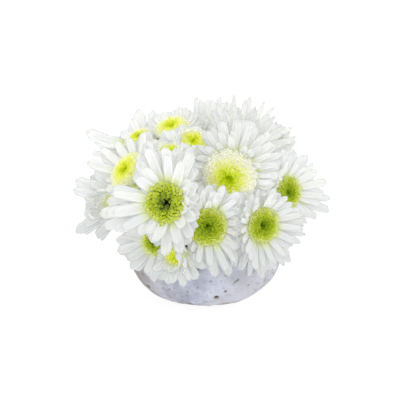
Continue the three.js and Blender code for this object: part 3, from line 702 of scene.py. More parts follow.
def all_blooms():
    """Every bloom, with a wall between each pair that could meet, which leans over the lower one."""
    blooms = [Bloom(k + 1, *row) for k, row in enumerate(BLOOMS)]
    for i, a in enumerate(blooms):
        for b in blooms[i + 1 :]:
            between = b.centre - a.centre
            if np.linalg.norm(between) > a.reach + b.reach:
                continue
            share = a.core / (a.core + b.core)
            free = max(np.linalg.norm(between) - a.core - b.core, 0)
            middle = a.centre + between * share
            normal = unit(between)
            outward = a.axis + b.axis
            outward = unit(outward - normal * dot(outward, normal))
            most = min(free / WALL["gap"], WALL["steepest"])
            lean = min(max(WALL["lean"] * (a.level - b.level), -most), most)
            normal = unit(normal - outward * lean)
            limit = dot(normal, middle)
            a.walls.append((normal, limit - WALL["margin"], free * (1 - share)))
            b.walls.append((-normal, -limit - WALL["margin"], free * share))
    return blooms


# ---------------------------------------------------------------- petals
MARCH = 24  # steps along a petal's line
ALONG = np.sin(np.linspace(0, 1, 12) * math.pi / 2) ** 0.9  # where its sections are, closer at the tip
HOOK = 26  # how far a petal's tip turns up, in degrees
ACROSS = np.linspace(-1, 1, 7)
FURROWS = np.array([0, 1.0, -1.0, 0.8, -1.0, 1.0, 0])  # up and down across the blade


def blade_faces(rows, columns):
    """Faces over and under a grid whose border points are shared, and the under points' grid places."""
    over = np.arange(rows * columns).reshape(rows, columns)
    under = over.copy()
    inner = under[1:-1, 1:-1]
    inner[:] = rows * columns + np.arange(inner.size).reshape(inner.shape)
    quads = []
    for grid, order in ((over, (0, 1, 2, 3)), (under, (3, 2, 1, 0))):
        corners = np.stack([grid[:-1, :-1], grid[1:, :-1], grid[1:, 1:], grid[:-1, 1:]], -1).reshape(-1, 4)
        quads.append(corners[:, order])
    return np.vstack(quads)


def blades(points, thickness, spots, **numbers):
    """Closed blades over grids of middle points, thick in the middle and thin at the border."""
    count, rows, columns, _ = points.shape
    normal = unit(np.cross(np.gradient(points, axis=1), np.gradient(points, axis=2)))
    profile = np.sqrt(1 - np.linspace(-1, 1, columns) ** 2)[None, :] * np.ones((rows, 1))
    profile[[0, -1]] = 0
    swell = normal * (thickness / 2 * profile)[None, :, :, None]
    spots = np.broadcast_to(spots, (count, rows, columns, 2))

    def both_sides(over, under):
        sides = (over, under[:, 1:-1, 1:-1])
        return np.concatenate([side.reshape(count, -1, side.shape[-1]) for side in sides], axis=1)

    points = both_sides(points + swell, points - swell)
    each = points.shape[1]
    faces = blade_faces(rows, columns)[None] + (np.arange(count) * each)[:, None, None]
    numbers = {name: np.repeat(value, each) for name, value in numbers.items()}
    return Sheet(points, faces.reshape(-1, 4).tolist(), both_sides(spots, spots), **numbers)


def petal_plan(bloom, rows):
    """Every petal's angles and sizes as one array for each."""
    plan = []
    outline = np.array(OUTLINES.get(bloom.number, [(0, 1)]))
    wide = WIDE.get(bloom.number, 1)
    for r, row in enumerate(rows):
        count = round(FULLNESS * row["petals"] * wide**-0.7 * SPARSE.get(bloom.number, 1))
        k = np.arange(count)
        draw = [chance(bloom.number, r, k, channel) - 0.5 for channel in range(10)]
        azimuth = (k + 0.5 * r + SPREAD["turn"] * draw[1]) / count * TURN
        share = np.interp(np.degrees(azimuth), outline[:, 0], outline[:, 1], period=360)
        reach = (bloom.reach * share - bloom.core) * row["reach"] * (1 + SPREAD["reach"] * draw[4])
        lift = row["lift"] + SPREAD["lift"] * draw[2]
        curl = row["curl"] + SPREAD["curl"] * draw[3]
        room = bloom.room(azimuth, np.radians(lift + 0.4 * curl))
        reach = np.minimum(reach, room * 1.1 + (8 - 1.5 * r) * MM)
        squeezed = 0.5 + 0.5 * smooth(room / (12 * MM))
        plan.append({
            "azimuth": azimuth,
            "lift": lift,
            "curl": curl,
            "length": reach + bloom.core * 0.45,
            "width": row["width"] * wide * squeezed * (1 + SPREAD["width"] * draw[5]),
            "pointed": np.clip(POINTED.get(bloom.number, 0.25) + 0.7 * draw[9], 0, 1),
            "height": np.full(count, row["height"] * MM),
            "inset": np.full(count, row["inset"] * MM),
            "own": draw[6] + 0.5,
            "cup": 1 + 1.4 * draw[7],
            "roll": np.radians(SPREAD["roll"] * draw[8]),
            "kept": reach > SHORTEST,
        })
    whole = {name: np.concatenate([part[name] for part in plan]) for name in plan[0]}
    kept = whole.pop("kept")
    return {name: value[kept] for name, value in whole.items()}


def petals_of(bloom, petal):
    """All petals of a bloom on the pale knob that holds them."""
    plan = petal_plan(bloom, ROWS if bloom.number in CUPPED else ROWS[:OPEN_ROWS])
    column = {name: value[:, None] for name, value in plan.items()}
    radial = bloom.radial(column["azimuth"])
    side = np.cross(bloom.axis, radial) * np.cos(column["roll"]) + bloom.axis * np.sin(column["roll"])
    point = bloom.centre + bloom.axis * column["height"] + radial * bloom.core * 0.55
    heading = radial
    march = [(point, side, heading)]
    for k in range(1, MARCH + 1):
        hook = HOOK * smooth((k / MARCH - 0.7) / 0.3)
        angle = np.radians(column["lift"] + column["curl"] * k / MARCH + hook)
        wanted = radial * np.cos(angle) + bloom.axis * np.sin(angle)
        heading = bloom.steer(point, unit(wanted + heading), column["inset"])
        point = point + heading * column["length"] / MARCH
        side = unit(side - heading * dot(side, heading))
        march.append((point, side, heading))
    grids = [np.stack(steps, 1) for steps in zip(*march)]

    place = ALONG[:, None] * (1 - 0.015 * ALONG[:, None] ** 3 * ACROSS**2) * MARCH
    low = np.minimum(place.astype(int), MARCH - 1)
    part = (place - low)[None, :, :, None]
    middle, across, ahead = (grid[:, low] * (1 - part) + grid[:, low + 1] * part for grid in grids)
    up = unit(np.cross(ahead, across))
    claw = 0.58 + 0.42 * smooth(ALONG / 0.5)
    broad = plan["width"] * petal.width / 2
    blunt = np.clip(1.05 * broad / plan["length"], 0.08, 0.34)[:, None]
    tip = np.sqrt(np.clip(1 - np.clip((ALONG - 1 + blunt) / blunt, 0, 1) ** 2.4, 0.06, 1))
    point = np.sqrt(np.clip(1 - np.clip((ALONG - 0.42) / 0.58, 0, 1) ** 1.9, 0.012, 1))
    tip = tip + (point - tip) * plan["pointed"][:, None]
    half = (claw * tip * broad[:, None])[:, :, None, None]
    each = {name: value[:, None, None, None] for name, value in plan.items()}
    t, s = ALONG[:, None, None], ACROSS[:, None]
    cup = petal.cup * each["cup"] * (0.5 + 0.9 * t)
    bend = 2 * cup * s**2 + petal.groove * 2 * FURROWS[:, None] * np.sin(t * math.pi)
    wave = 0.12 * np.sin(9 * t + 40 * each["own"]) * s**3
    points = bloom.confine(middle + across * half * s + up * half * (bend + wave), each["inset"])
    spots = np.stack(np.broadcast_arrays(ACROSS / 2 + 0.5, ALONG[:, None]), -1)
    sheet = blades(points, petal.thickness, spots, own=plan["own"])
    arc = np.linspace(0, math.pi, 9)
    knob = turned([(math.sin(a) * 0.92 * bloom.core, -math.cos(a) * CORE["half"]) for a in arc], 24, own=0.5)
    knob.points = bloom.centre + knob.points @ np.array([bloom.east, bloom.north, bloom.axis])
    return sheet.join(knob)


# ---------------------------------------------------------------- things grown by geometry trees
class Growth(Net):
    """A geometry tree with named inputs, which grows things on the mesh that it is given."""

    def __init__(self, name, **sockets):
        super().__init__(bpy.data.node_groups.new(name, "GeometryNodeTree"))
        for kind, names in {"Geometry": ("Geometry",), **sockets}.items():
            for each in names:
                self.tree.interface.new_socket(each, in_out="INPUT", socket_type="NodeSocket" + kind)
        self.tree.interface.new_socket("Geometry", in_out="OUTPUT", socket_type="NodeSocketGeometry")
        self.entry = self.add("NodeGroupInput")

    def __getitem__(self, name):
        return self.entry.output(name)

    def step(self, kind, **inputs):
        """A geometry node that needs no settings."""
        return self.add("GeometryNode" + kind, None, inputs)

    def random(self, low, high, channel):
        inputs = {2: low, 3: high, 8: self["Seed"] + channel}
        return self.add("FunctionNodeRandomValue", {"data_type": "FLOAT"}, inputs, 1)

    def shape(self, name):
        """The mesh of the object in one of the tree's inputs."""
        settings = {"transform_space": "ORIGINAL"}
        return self.add("GeometryNodeObjectInfo", settings, {"Object": self[name]}, "Geometry")

    def painted(self, geometry, material):
        return self.step("SetMaterial", Geometry=geometry, Material=self[material])

    def joined(self, first, second):
        both = self.step("JoinGeometry", Geometry=first)
        self.tree.links.new(second.socket, both.socket.node.inputs["Geometry"])
        return both

    def end(self, geometry):
        end = self.tree.nodes.new("NodeGroupOutput")
        self.tree.links.new(geometry.socket, end.inputs["Geometry"])
        return self.tree

    def end_with(self, instances):
        """Ends with instances and what they stand on as one mesh of the tree's material."""
        real = self.step("RealizeInstances", Geometry=self.joined(instances, self["Geometry"]))
        return self.end(self.painted(real, "Material"))


def grown_mesh(sheet, name, tree, inputs):
    """A sheet with what a tree grows on it, as a plain mesh. A modifier's inputs are set through their
    sockets' identifiers."""
    maker = new_object(sheet.mesh(name + "_maker"))
    modifier = maker.modifiers.new("growth", "NODES")
    modifier.node_group = tree
    items = {item.name: item.identifier for item in tree.interface.items_tree if item.in_out == "INPUT"}
    for key, value in inputs.items():
        modifier[items[key]] = value
    return plain_mesh(maker, name)


# ---------------------------------------------------------------- discs of florets
def dome_height(share, rise, dip):
    return rise * np.sqrt(1 - 0.8 * share**2) - 2.5 * dip * (1 - share) ** 2


def floret_shape():
    """A small trumpet with six blunt lobes, one unit wide and one unit high."""
    sides = 6
    points = []
    for radius, height in ((0.2, 0.0), (0.3, 0.5), (0.52, 0.95)):
        for k, a in enumerate(np.arange(sides) / sides * TURN):
            lobe = 0.08 if height > 0.9 and k % 2 else 0
            points.append((radius * math.cos(a), radius * math.sin(a), height + lobe))
    points.append((0, 0, 0.72))
    faces = [list(range(sides))[::-1]]
    for s in range(sides):
        faces += [quad(0, s, sides), quad(1, s, sides)]
        faces.append([2 * sides + s, 2 * sides + (s + 1) % sides, 3 * sides])
    tips = np.array([z for _, _, z in points]) ** 1.3
    return Sheet(points, faces, tip=np.minimum(tips, 1))


def floret_tree():
    """Florets set on a dome in the golden spiral, each pointing out of it."""
    net = Growth(
        "florets_on_dome",
        Object=("Floret",),
        Int=("Count", "Seed"),
        Float=("Radius", "Rise", "Dip", "Width", "Length", "Fringe", "Fan", "Uneven"),
        Material=("Material",),
    )
    index = net.step("InputIndex")
    share = ((index + 0.5) / net["Count"]) ** 0.5
    angle = index * GOLDEN_ANGLE
    root = (1 - share * share * 0.8) ** 0.5
    height = net["Rise"] * root - net["Dip"] * 2.5 * (1 - share) ** 2
    slope = net["Dip"] * 5 * (1 - share) - net["Rise"] * 0.8 * share / root
    cosine, sine = angle.cosine(), angle.sine()
    radius = share * net["Radius"] * net.random(0.985, 1.015, 1)
    place = net.vector(cosine * radius, sine * radius, height * net["Radius"])
    points = net.step("SetPosition", Geometry=net.step("Points", Count=net["Count"]), Position=place)
    for name, value in (("ring", share), ("own", net.random(0.0, 1.0, 2))):
        settings = {"data_type": "FLOAT", "domain": "POINT"}
        inputs = {"Geometry": points, "Name": name, "Value": value}
        points = net.add("GeometryNodeStoreNamedAttribute", settings, inputs)
    lean = share * net["Fan"] - slope
    aside, ahead = (net.random(-0.14, 0.14, channel) for channel in (3, 4))
    out = net.vector(cosine * lean + aside, sine * lean + ahead, 1.0)
    spin = net.add("FunctionNodeEulerToRotation", None, {0: net.vector(0.0, 0.0, net.random(0.0, TURN, 5))})
    turn = net.add("FunctionNodeAlignRotationToVector", {"axis": "Z"}, {"Rotation": spin, "Vector": out})
    wide = net["Width"] * net.random(0.85, 1.15, 6)
    grown = 0.55 + 0.45 * share.ramp(0.05, 0.4) + net["Fringe"] * share**3
    tall = net["Length"] * grown * (1 + net["Uneven"] * net.random(-1.0, 1.0, 7))
    florets = net.step(
        "InstanceOnPoints",
        Points=points,
        Instance=net.shape("Floret"),
        Rotation=turn,
        Scale=net.vector(wide, wide, tall),
    )
    return net.end_with(florets)


def disc_of(bloom, tree, floret, material):
    """The dome under a bloom's florets, with the florets on it."""
    centre = CENTRES[bloom.kind]
    rise, dip, spacing = centre["rise"], centre["dip"], centre["spacing"] * MM
    shares = np.linspace(1, 0, 9)[:-1]
    heights = dome_height(shares, rise, dip) - 0.04
    profile = [(0, 0), (0.9, 0), *zip(shares * 0.97, heights), (0, dome_height(0, rise, dip) - 0.04)]
    dome = turned(np.array(profile) * bloom.disc, 28, ring=0.0, own=0.5, tip=0.0)
    dome.numbers["ring"] = np.linalg.norm(dome.points[:, :2], axis=1) / bloom.disc
    mesh = grown_mesh(dome, bloom.name + "_florets", tree, {
        "Floret": floret,
        "Count": int(math.pi * bloom.disc**2 / (0.8 * spacing**2)),
        "Radius": bloom.disc * 0.97,
        "Width": spacing * 1.3,
        "Length": centre["length"] * MM,
        "Seed": bloom.number * 10,
        "Material": material,
        **{name.title(): centre[name] for name in ("rise", "dip", "fringe", "fan", "uneven")},
    })
    mesh.transform(bloom.matrix() @ Matrix.Translation((0, 0, CORE["half"] + CORE["gap"])))
    return new_object(mesh)


# ---------------------------------------------------------------- stems, calyces and leaves
def curve_through(points, count):
    """Points along a smooth curve through others."""
    points = np.asarray(points, float)
    padded = np.vstack([2 * points[0] - points[1], points, 2 * points[-1] - points[-2]])
    line = []
    for k in range(len(points) - 1):
        a, b, c, d = padded[k : k + 4]
        for t in np.arange(count) / count:
            bend = (2 * a - 5 * b + 4 * c - d) * t * t + (3 * b - a - 3 * c + d) * t**3
            line.append(0.5 * (2 * b + (c - a) * t + bend))
    return np.array([*line, points[-1]])


def tube(points, radii, sides=9):
    """A round tube through points, closed at its ends."""
    points = np.asarray(points, float)
    radii = np.broadcast_to(radii, len(points))
    angle = np.arange(sides)[:, None] / sides * TURN
    side = np.array([1, 0, 0.01])
    rings = []
    for k, point in enumerate(points):
        heading = unit(points[min(k + 1, len(points) - 1)] - points[max(k - 1, 0)])
        side = unit(side - heading * dot(side, heading))
        other = np.cross(heading, side)
        rings.append(point + (side * np.cos(angle) + other * np.sin(angle)) * radii[k])
    last = len(points) - 1
    faces = [quad(k, s, sides) for k in range(last) for s in range(sides)]
    faces += [list(range(sides))[::-1], [last * sides + s for s in range(sides)]]
    return Sheet(np.vstack(rings), faces)


def branch_of(bloom, fork, stem):
    """The branch from a fork to a bloom, flared into its calyx, with the bracts round it."""
    seat_point = bloom.centre - bloom.axis * (CORE["half"] + CORE["gap"])
    neck = seat_point - bloom.axis * CALYX["depth"]
    before = neck - bloom.axis * 5 * MM
    line = curve_through([fork, (fork + before) / 2 + np.array([0, 0, 3 * MM]), before, neck], 6)
    cup = bloom.disc * CALYX["share"]
    flare = [(0.2, 0.5), (0.4, 0.72), (0.62, 0.9), (0.85, 1.0), (1.0, 0.97)]
    radii = [stem.branch] * len(line) + [max(cup * wide, stem.branch) for _, wide in flare]
    line = np.vstack([line, [neck + bloom.axis * CALYX["depth"] * share for share, _ in flare]])
    branch = tube(line, radii, 10)
    t, s = np.linspace(0, 1, 6), np.linspace(-1, 1, 5)
    for ring, (count, start, size) in enumerate(((9, 0.25, 0.62), (10, 0.5, 0.72))):
        radial = bloom.radial(((np.arange(count) + 0.5 * ring) / count * TURN)[:, None])
        side = np.cross(bloom.axis, radial)
        out = cup * (0.75 + 0.35 * start) * (0.9 + 0.55 * np.sin(t * 1.6)) + 0.3 * MM
        rise = CALYX["depth"] * (start + 0.52 * t) - CALYX["depth"]
        out = np.minimum(out, bloom.core)
        middle = seat_point + bloom.axis * rise[None, :, None] + radial[:, None] * out[None, :, None]
        half = size * 3.2 * MM * np.sqrt(np.clip(1.02 - t**2.2, 0, 1))
        grid = middle[:, :, None] + side[:, None, None] * (half[:, None] * s)[None, :, :, None]
        grid = grid - radial[:, None, None] * (half[:, None] * s**2 * 0.3)[None, :, :, None]
        branch.join(blades(grid[:, :, ::-1], 0.5 * MM, np.zeros(2)))
    return branch


def leaf_shape(stem):
    """A chrysanthemum leaf along +X, its face up: lobed in pairs, folded and arched."""
    t, s = np.linspace(0, 1, 22)[:, None], np.linspace(-1, 1, 9)
    lobes = t * TURN * 3.2
    outline = np.sin(np.clip(t * 0.97 + 0.03, 0, 1) ** 0.75 * math.pi) ** 0.75
    outline = np.maximum(outline * (0.5 + 0.5 * (0.5 - 0.5 * np.cos(lobes)) ** 0.7), 0.04)
    sweep = t - 0.1 * np.abs(s) * (1 - t)
    x = (sweep + 0.1 * np.abs(s) * outline) * stem.leaf
    y = outline * s * stem.leaf_width / 2
    fold = np.abs(s) * outline * 0.1 + 0.03 * np.sin(lobes) * np.abs(s)
    z = fold * stem.leaf_width + (t - 1.5 * t * t) * stem.leaf * 0.2
    spots = np.stack(np.broadcast_arrays(s / 2 + 0.5, t), -1)
    return blades(np.stack([x, y, z], -1)[None], 0.7 * MM, spots)


def leaf_tree():
    """Leaves set on buds, each turned and sized as its bud says, joined to the stems."""
    net = Growth(
        "leaves_on_stems",
        Object=("Buds", "Leaf"),
        Float=("Leaf Size",),
        Material=("Leaf Material", "Stem Material"),
    )

    def own(name, kind):
        return net.add("GeometryNodeInputNamedAttribute", {"data_type": kind}, {"Name": name})

    size = own("size", "FLOAT") * net["Leaf Size"]
    leaves = net.step(
        "InstanceOnPoints",
        Points=net.shape("Buds"),
        Instance=net.shape("Leaf"),
        Rotation=own("turn", "FLOAT_VECTOR"),
        Scale=net.vector(size, size, size),
    )
    leaves = net.painted(net.step("RealizeInstances", Geometry=leaves), "Leaf Material")
    return net.end(net.joined(leaves, net.painted(net["Geometry"], "Stem Material")))


def leaf_buds(stem):
    """Where each leaf starts, how it is turned and sized, and the stem that it grows on: spread over the
    inside of the bush, faces out, each heading down and round a little."""
    buds = []
    centre, radii = BUSH["centre"], BUSH["radii"]
    for k in range(stem.leaves):
        height = 0.97 - 0.86 * (k + 0.5) / stem.leaves
        angle = k * GOLDEN_ANGLE
        flat = math.sqrt(1 - height**2)
        out = np.array([flat * math.cos(angle), flat * math.sin(angle), height])
        inside = (0.98 if height > 0.55 else 0.9) - 0.12 * chance(k, 1)
        middle = centre + out * radii * inside
        normal = unit(out / radii)
        tilt = 0.9 * (chance(k, 2) - 0.5)
        if height < 0.96:
            down = unit(np.array([0, 0, -1]) - normal * -normal[2])
        else:
            down = unit(np.cross(normal, [0, 1, 0]))
        heading = unit(down * math.cos(tilt) + np.cross(normal, down) * math.sin(tilt) + normal * 0.12)
        normal = unit(normal - heading * dot(normal, heading))
        size = 0.72 + 0.36 * chance(k, 3)
        start = middle - heading * stem.leaf * size * 0.45
        turn = Matrix([heading, np.cross(normal, heading), normal]).transposed().to_euler()
        away = [math.hypot(start[0] - x * MM * 1.4, start[1] - y * MM * 1.4) for x, y in STEMS]
        nearest = int(np.argmin(away)) + 1
        buds.append({"start": start, "heading": heading, "turn": tuple(turn), "size": size, "stem": nearest})
    return buds


def leafy_stem_of(number, blooms, buds, stem, soil):
    """One stem's trunk, its flower branches with calyces and the stalks of its leaves."""
    x, y = (c * MM for c in STEMS[number - 1])
    foot = np.array([x, y, soil.top - ROOTED])
    collar = np.array([x, y, soil.top + 2 * MM])
    fork = collar + np.array([x * 0.12, y * 0.12, 9 * MM])
    up = np.array([0, 0, 1.5 * MM])
    radii = np.r_[np.full(9, stem.trunk), np.linspace(stem.trunk, stem.branch, 4)]
    sheet = tube(curve_through([foot, collar, fork, fork + up], 4), radii, 10)
    for bloom in blooms:
        if bloom.stem == number:
            sheet.join(branch_of(bloom, fork, stem))
    for k, bud in enumerate(buds):
        start = collar + (fork - collar) * chance(k, number)
        lead = bud["start"] - bud["heading"] * 6 * MM
        halfway = (start + lead) / 2 + np.array([0, 0, -3 * MM])
        line = curve_through([start, halfway, lead, bud["start"] + bud["heading"] * 1 * MM], 4)
        sheet.join(tube(line, np.linspace(stem.petiole * 1.4, stem.petiole, len(line)), 6))
    return sheet


# ---------------------------------------------------------------- bowl and soil
def stray(angle):
    """How far the hand-made round strays at an angle, as a factor of the radius."""
    return 1 + 0.014 * (np.sin(2 * angle - 0.3) + 0.6 * np.sin(3 * angle - 1.4))


def bowl_radius(z, bowl):
    """The outer radius at a height: a full round up to the belly, then in a little to the rim."""
    below = np.clip(1 - z / bowl.belly_height, 0, 1)
    above = np.clip((z - bowl.belly_height) / (bowl.height - bowl.belly_height), 0, 1)
    return bowl.foot + (bowl.belly - bowl.foot) * (1 - below**2.6) ** 0.6 + (bowl.rim - bowl.belly) * above**2


def inside_radius(z, bowl):
    """The inner radius at a height, which draws in towards the lower corner."""
    corner = 16 * MM  # the height at which it starts to draw in
    drawn_in = np.clip((corner - z) / (corner - bowl.floor), 0, 1)
    return bowl_radius(z, bowl) - bowl.wall - bowl.heel * drawn_in


# Pits in the bowl's face: azimuth from the front, height, radius and depth in millimetres.
PITS = [(8, 12.5, 1.8, 1.6), (3, 26.5, 1.0, 0.5), (-28, 18, 1.0, 0.5), (-52, 14, 1.5, 0.8),
        (40, 20, 1.0, 0.4), (66, 10, 1.8, 0.9), (88, 19, 2.6, 1.3), (84, 8, 3.0, 1.4), (80, 27, 2.0, 0.9)]
SMALL_PITS = 30
DRAIN_HOLES = 3
FOOT_EDGE = 5 * MM  # the height up to which the foot's edge is ragged


def bowl_relief(points, bowl):
    """How far the bowl's face stands out at each point, and how much of a pit each point is in."""
    rise = np.zeros(len(points))
    pit = np.zeros(len(points))
    angle = np.degrees(np.arctan2(points[:, 0], -points[:, 1]))
    radius = np.hypot(points[:, 0], points[:, 1])
    outside = radius > bowl_radius(points[:, 2], bowl) - bowl.wall * 0.45
    for k, point in enumerate(points):
        p, z = Vector(point), point[2]
        rise[k] = bowl.lump * noise.fractal(p * 42, 1.0, 2.0, 3) + bowl.lump * 0.35 * noise.noise(p * 210)
        if z < FOOT_EDGE and outside[k]:
            ragged = noise.noise(Vector((angle[k] * 0.11, z * 120, 3)))
            rise[k] += bowl.lump * 1.5 * (1 - z / FOOT_EDGE) * ragged
    pits = list(PITS)
    for k in range(SMALL_PITS):
        place = (360 * chance(k, 5) - 180, 5 + 40 * chance(k, 6))
        pits.append((*place, 0.7 + 0.9 * chance(k, 7), 0.3 + 0.5 * chance(k, 8)))
    for azimuth, height, size, depth in pits:
        swing = np.mod(angle - azimuth + 180, 360) - 180
        gap = np.hypot(np.radians(swing) * radius, points[:, 2] - height * MM) / (size * MM)
        inside = np.exp(-(gap**2.4)) * outside
        rise -= inside * depth * MM
        pit = np.maximum(pit, inside * min(depth * 1.3, 1))
    return rise, pit


def bowl_mesh(bowl, material):
    """The bowl turned in rings with eased edges, its drain holes cut, and its face roughened."""
    outer = [(bowl_radius(z, bowl), z) for z in bowl.height * 0.965 * np.linspace(0, 1, 78) ** 1.3]
    eased, half = 1.7 * MM, bowl.wall / 2
    arc = np.linspace(0, math.pi, 9)[1:-1]
    rim = [(bowl.rim - half + half * math.cos(a), bowl.height - eased + eased * math.sin(a)) for a in arc]
    inner = [(inside_radius(z, bowl), z) for z in np.linspace(bowl.height * 0.955, bowl.floor, 30)]
    floor = [(share * inner[-1][0], bowl.floor) for share in (0.8, 0.6, 0.4, 0.2)]
    foot = [(share * bowl.foot, 0.0) for share in (0.2, 0.4, 0.6, 0.8, 0.94)]
    profile = [(0, 0), *foot, *outer, *rim, *inner, *floor, (0, bowl.floor)]
    maker = new_object(turned(profile, 320, stray).mesh("bowl_maker"))
    rods = []
    for k in range(DRAIN_HOLES):
        angle = k / DRAIN_HOLES * TURN
        rod = turned([(0, -0.003), (bowl.drain, -0.003), (bowl.drain, 0.012), (0, 0.012)], 24)
        rod.points += np.array([math.cos(angle), math.sin(angle), 0]) * bowl.drain_circle
        rods.append(new_object(rod.mesh(f"drain_{k}")))
        cut = maker.modifiers.new(f"drain_{k}", "BOOLEAN")
        cut.object = rods[-1]
        cut.operation = "DIFFERENCE"
        cut.solver = "EXACT"
    mesh = plain_mesh(maker, "cement_bowl")
    for rod in rods:
        bpy.data.objects.remove(rod)
    points, normals = np.zeros((2, len(mesh.vertices) * 3))
    mesh.vertices.foreach_get("co", points)
    mesh.vertices.foreach_get("normal", normals)
    points, normals = points.reshape(-1, 3), normals.reshape(-1, 3)
    rise, pit = bowl_relief(points, bowl)
    points = points + normals * rise[:, None]
    points[:, 2] = np.maximum(points[:, 2], 0)
    mesh.vertices.foreach_set("co", points.ravel())
    mark(mesh, "pit", pit)
    mesh.materials.clear()
    mesh.materials.append(material)
    mesh.shade_smooth()
    mesh.update()
    return mesh


def crumb_tree():
    """Crumbs scattered over a face at random and joined to it."""
    net = Growth(
        "crumbs_on_soil",
        Float=("Crumb Size", "Density", "Lowest"),
        Int=("Seed",),
        Material=("Material",),
    )
    height = net.part(net.step("InputPosition"), "Z")
    points = net.step(
        "DistributePointsOnFaces",
        Mesh=net["Geometry"],
        Selection=height.above(net["Lowest"]),
        Density=net["Density"],
        Seed=net["Seed"],
    )
    size = net["Crumb Size"] * net.random(0.25, 1.0, 4)
    crumbs = net.step(
        "InstanceOnPoints",
        Points=points,
        Instance=net.step("MeshIcoSphere", Radius=0.5, Subdivisions=1),
        Rotation=net.vector(*(net.random(0.0, TURN, channel) for channel in (1, 2, 3))),
        Scale=net.vector(size, size * net.random(0.6, 1.0, 5), size * net.random(0.5, 0.9, 6)),
    )
    return net.end_with(crumbs)


def soil_mesh(soil, bowl, material):
    """A lumpy plug of soil that fills the bowl's inside, strewn with crumbs."""
    heap = 1.2 * MM  # how much higher the soil is in the middle
    edge = [(inside_radius(z, bowl) - 0.6 * MM, z) for z in np.linspace(bowl.floor + 0.3 * MM, soil.top, 9)]
    width = edge[-1][0]
    top = [(width * share, soil.top + heap * (1 - share)) for share in np.linspace(0.97, 0.03, 32)]
    sheet = turned([(0, edge[0][1]), *edge, *top, (0, soil.top + heap)], 120, stray)
    for k, point in enumerate(sheet.points):
        if point[2] > soil.top - 0.1 * MM:
            away = width - math.hypot(point[0], point[1])
            lump = noise.fractal(Vector(point) * 160, 1.0, 2.0, 3) * 0.9 + 0.2
            sheet.points[k, 2] += lump * MM * smooth(away / (4 * MM))
    return grown_mesh(sheet, "potting_soil", crumb_tree(), {
        "Crumb Size": soil.crumb,
        "Density": soil.crumbs * 1e4,
        "Lowest": soil.top + 0.1 * MM,
        "Seed": 5,
        "Material": material,
    })


# ---------------------------------------------------------------- operators
class CHRYSANTHEMUM_OT_bowl(bpy.types.Operator):
    """Builds the whitewashed cement bowl"""

    bl_idname = "chrysanthemum.bowl"
    bl_label = "Cement Bowl"

    def execute(self, context):
        bowl = context.scene.pot_chrysanthemum.bowl
        seat(new_object(bowl_mesh(bowl, whitewash_finish(bowl))), "cement", "pot")
        return {"FINISHED"}


class CHRYSANTHEMUM_OT_soil(bpy.types.Operator):
    """Fills the bowl with crumbly potting soil"""

    bl_idname = "chrysanthemum.soil"
    bl_label = "Potting Soil"

    def execute(self, context):
        plant = context.scene.pot_chrysanthemum
        seat(new_object(soil_mesh(plant.soil, plant.bowl, earth_finish(plant.soil))), "earth", "soil")
        return {"FINISHED"}


class CHRYSANTHEMUM_OT_stems(bpy.types.Operator):
    """Grows the seven leafy stems with their branches and calyces"""

    bl_idname = "chrysanthemum.stems"
    bl_label = "Leafy Stems"

    def execute(self, context):
        plant = context.scene.pot_chrysanthemum
        blooms, buds = all_blooms(), leaf_buds(plant.stem)
        tree = leaf_tree()
        leaf = new_object(leaf_shape(plant.stem).mesh("leaf_maker"))
        materials = {"Leaf Material": leaf_finish(plant.stem), "Stem Material": stem_finish(plant.stem)}
        for number in range(1, len(STEMS) + 1):
            own = [bud for bud in buds if bud["stem"] == number]
            sheet = leafy_stem_of(number, blooms, own, plant.stem, plant.soil)
            spots = bpy.data.meshes.new(f"buds_{number}")
            spots.from_pydata([tuple(bud["start"]) for bud in own], [], [])
            mark(spots, "turn", [bud["turn"] for bud in own], "FLOAT_VECTOR", "vector")
            mark(spots, "size", [bud["size"] for bud in own])
            spots = new_object(spots)
            inputs = {"Buds": spots, "Leaf": leaf, "Leaf Size": 1.0, **materials}
            piece = new_object(grown_mesh(sheet, f"stem_{number}_with_leaves", tree, inputs))
            bpy.data.objects.remove(spots)
            seat(piece, "green", f"leafy_stem_{number}")
        bpy.data.objects.remove(leaf)
        return {"FINISHED"}


class CHRYSANTHEMUM_OT_petals(bpy.types.Operator):
    """Grows the white petals of every bloom"""

    bl_idname = "chrysanthemum.petals"
    bl_label = "Petals"

    def execute(self, context):
        petal = context.scene.pot_chrysanthemum.petal
        material = petal_finish(petal)
        for bloom in all_blooms():
            piece = new_object(petals_of(bloom, petal).mesh(bloom.name + "_white_petals", material))
            seat(piece, "petal", bloom.name + "_petals")
        return {"FINISHED"}


class CHRYSANTHEMUM_OT_discs(bpy.types.Operator):
    """Packs every bloom's disc with florets"""

    bl_idname = "chrysanthemum.discs"
    bl_label = "Discs of Florets"

    def execute(self, context):
        tree = floret_tree()
        floret = new_object(floret_shape().mesh("floret_maker"))
        materials = {kind: floret_finish(centre) for kind, centre in CENTRES.items()}
        for bloom in all_blooms():
            seat(disc_of(bloom, tree, floret, materials[bloom.kind]), "floret", bloom.name + "_disc")
        bpy.data.objects.remove(floret)
        return {"FINISHED"}


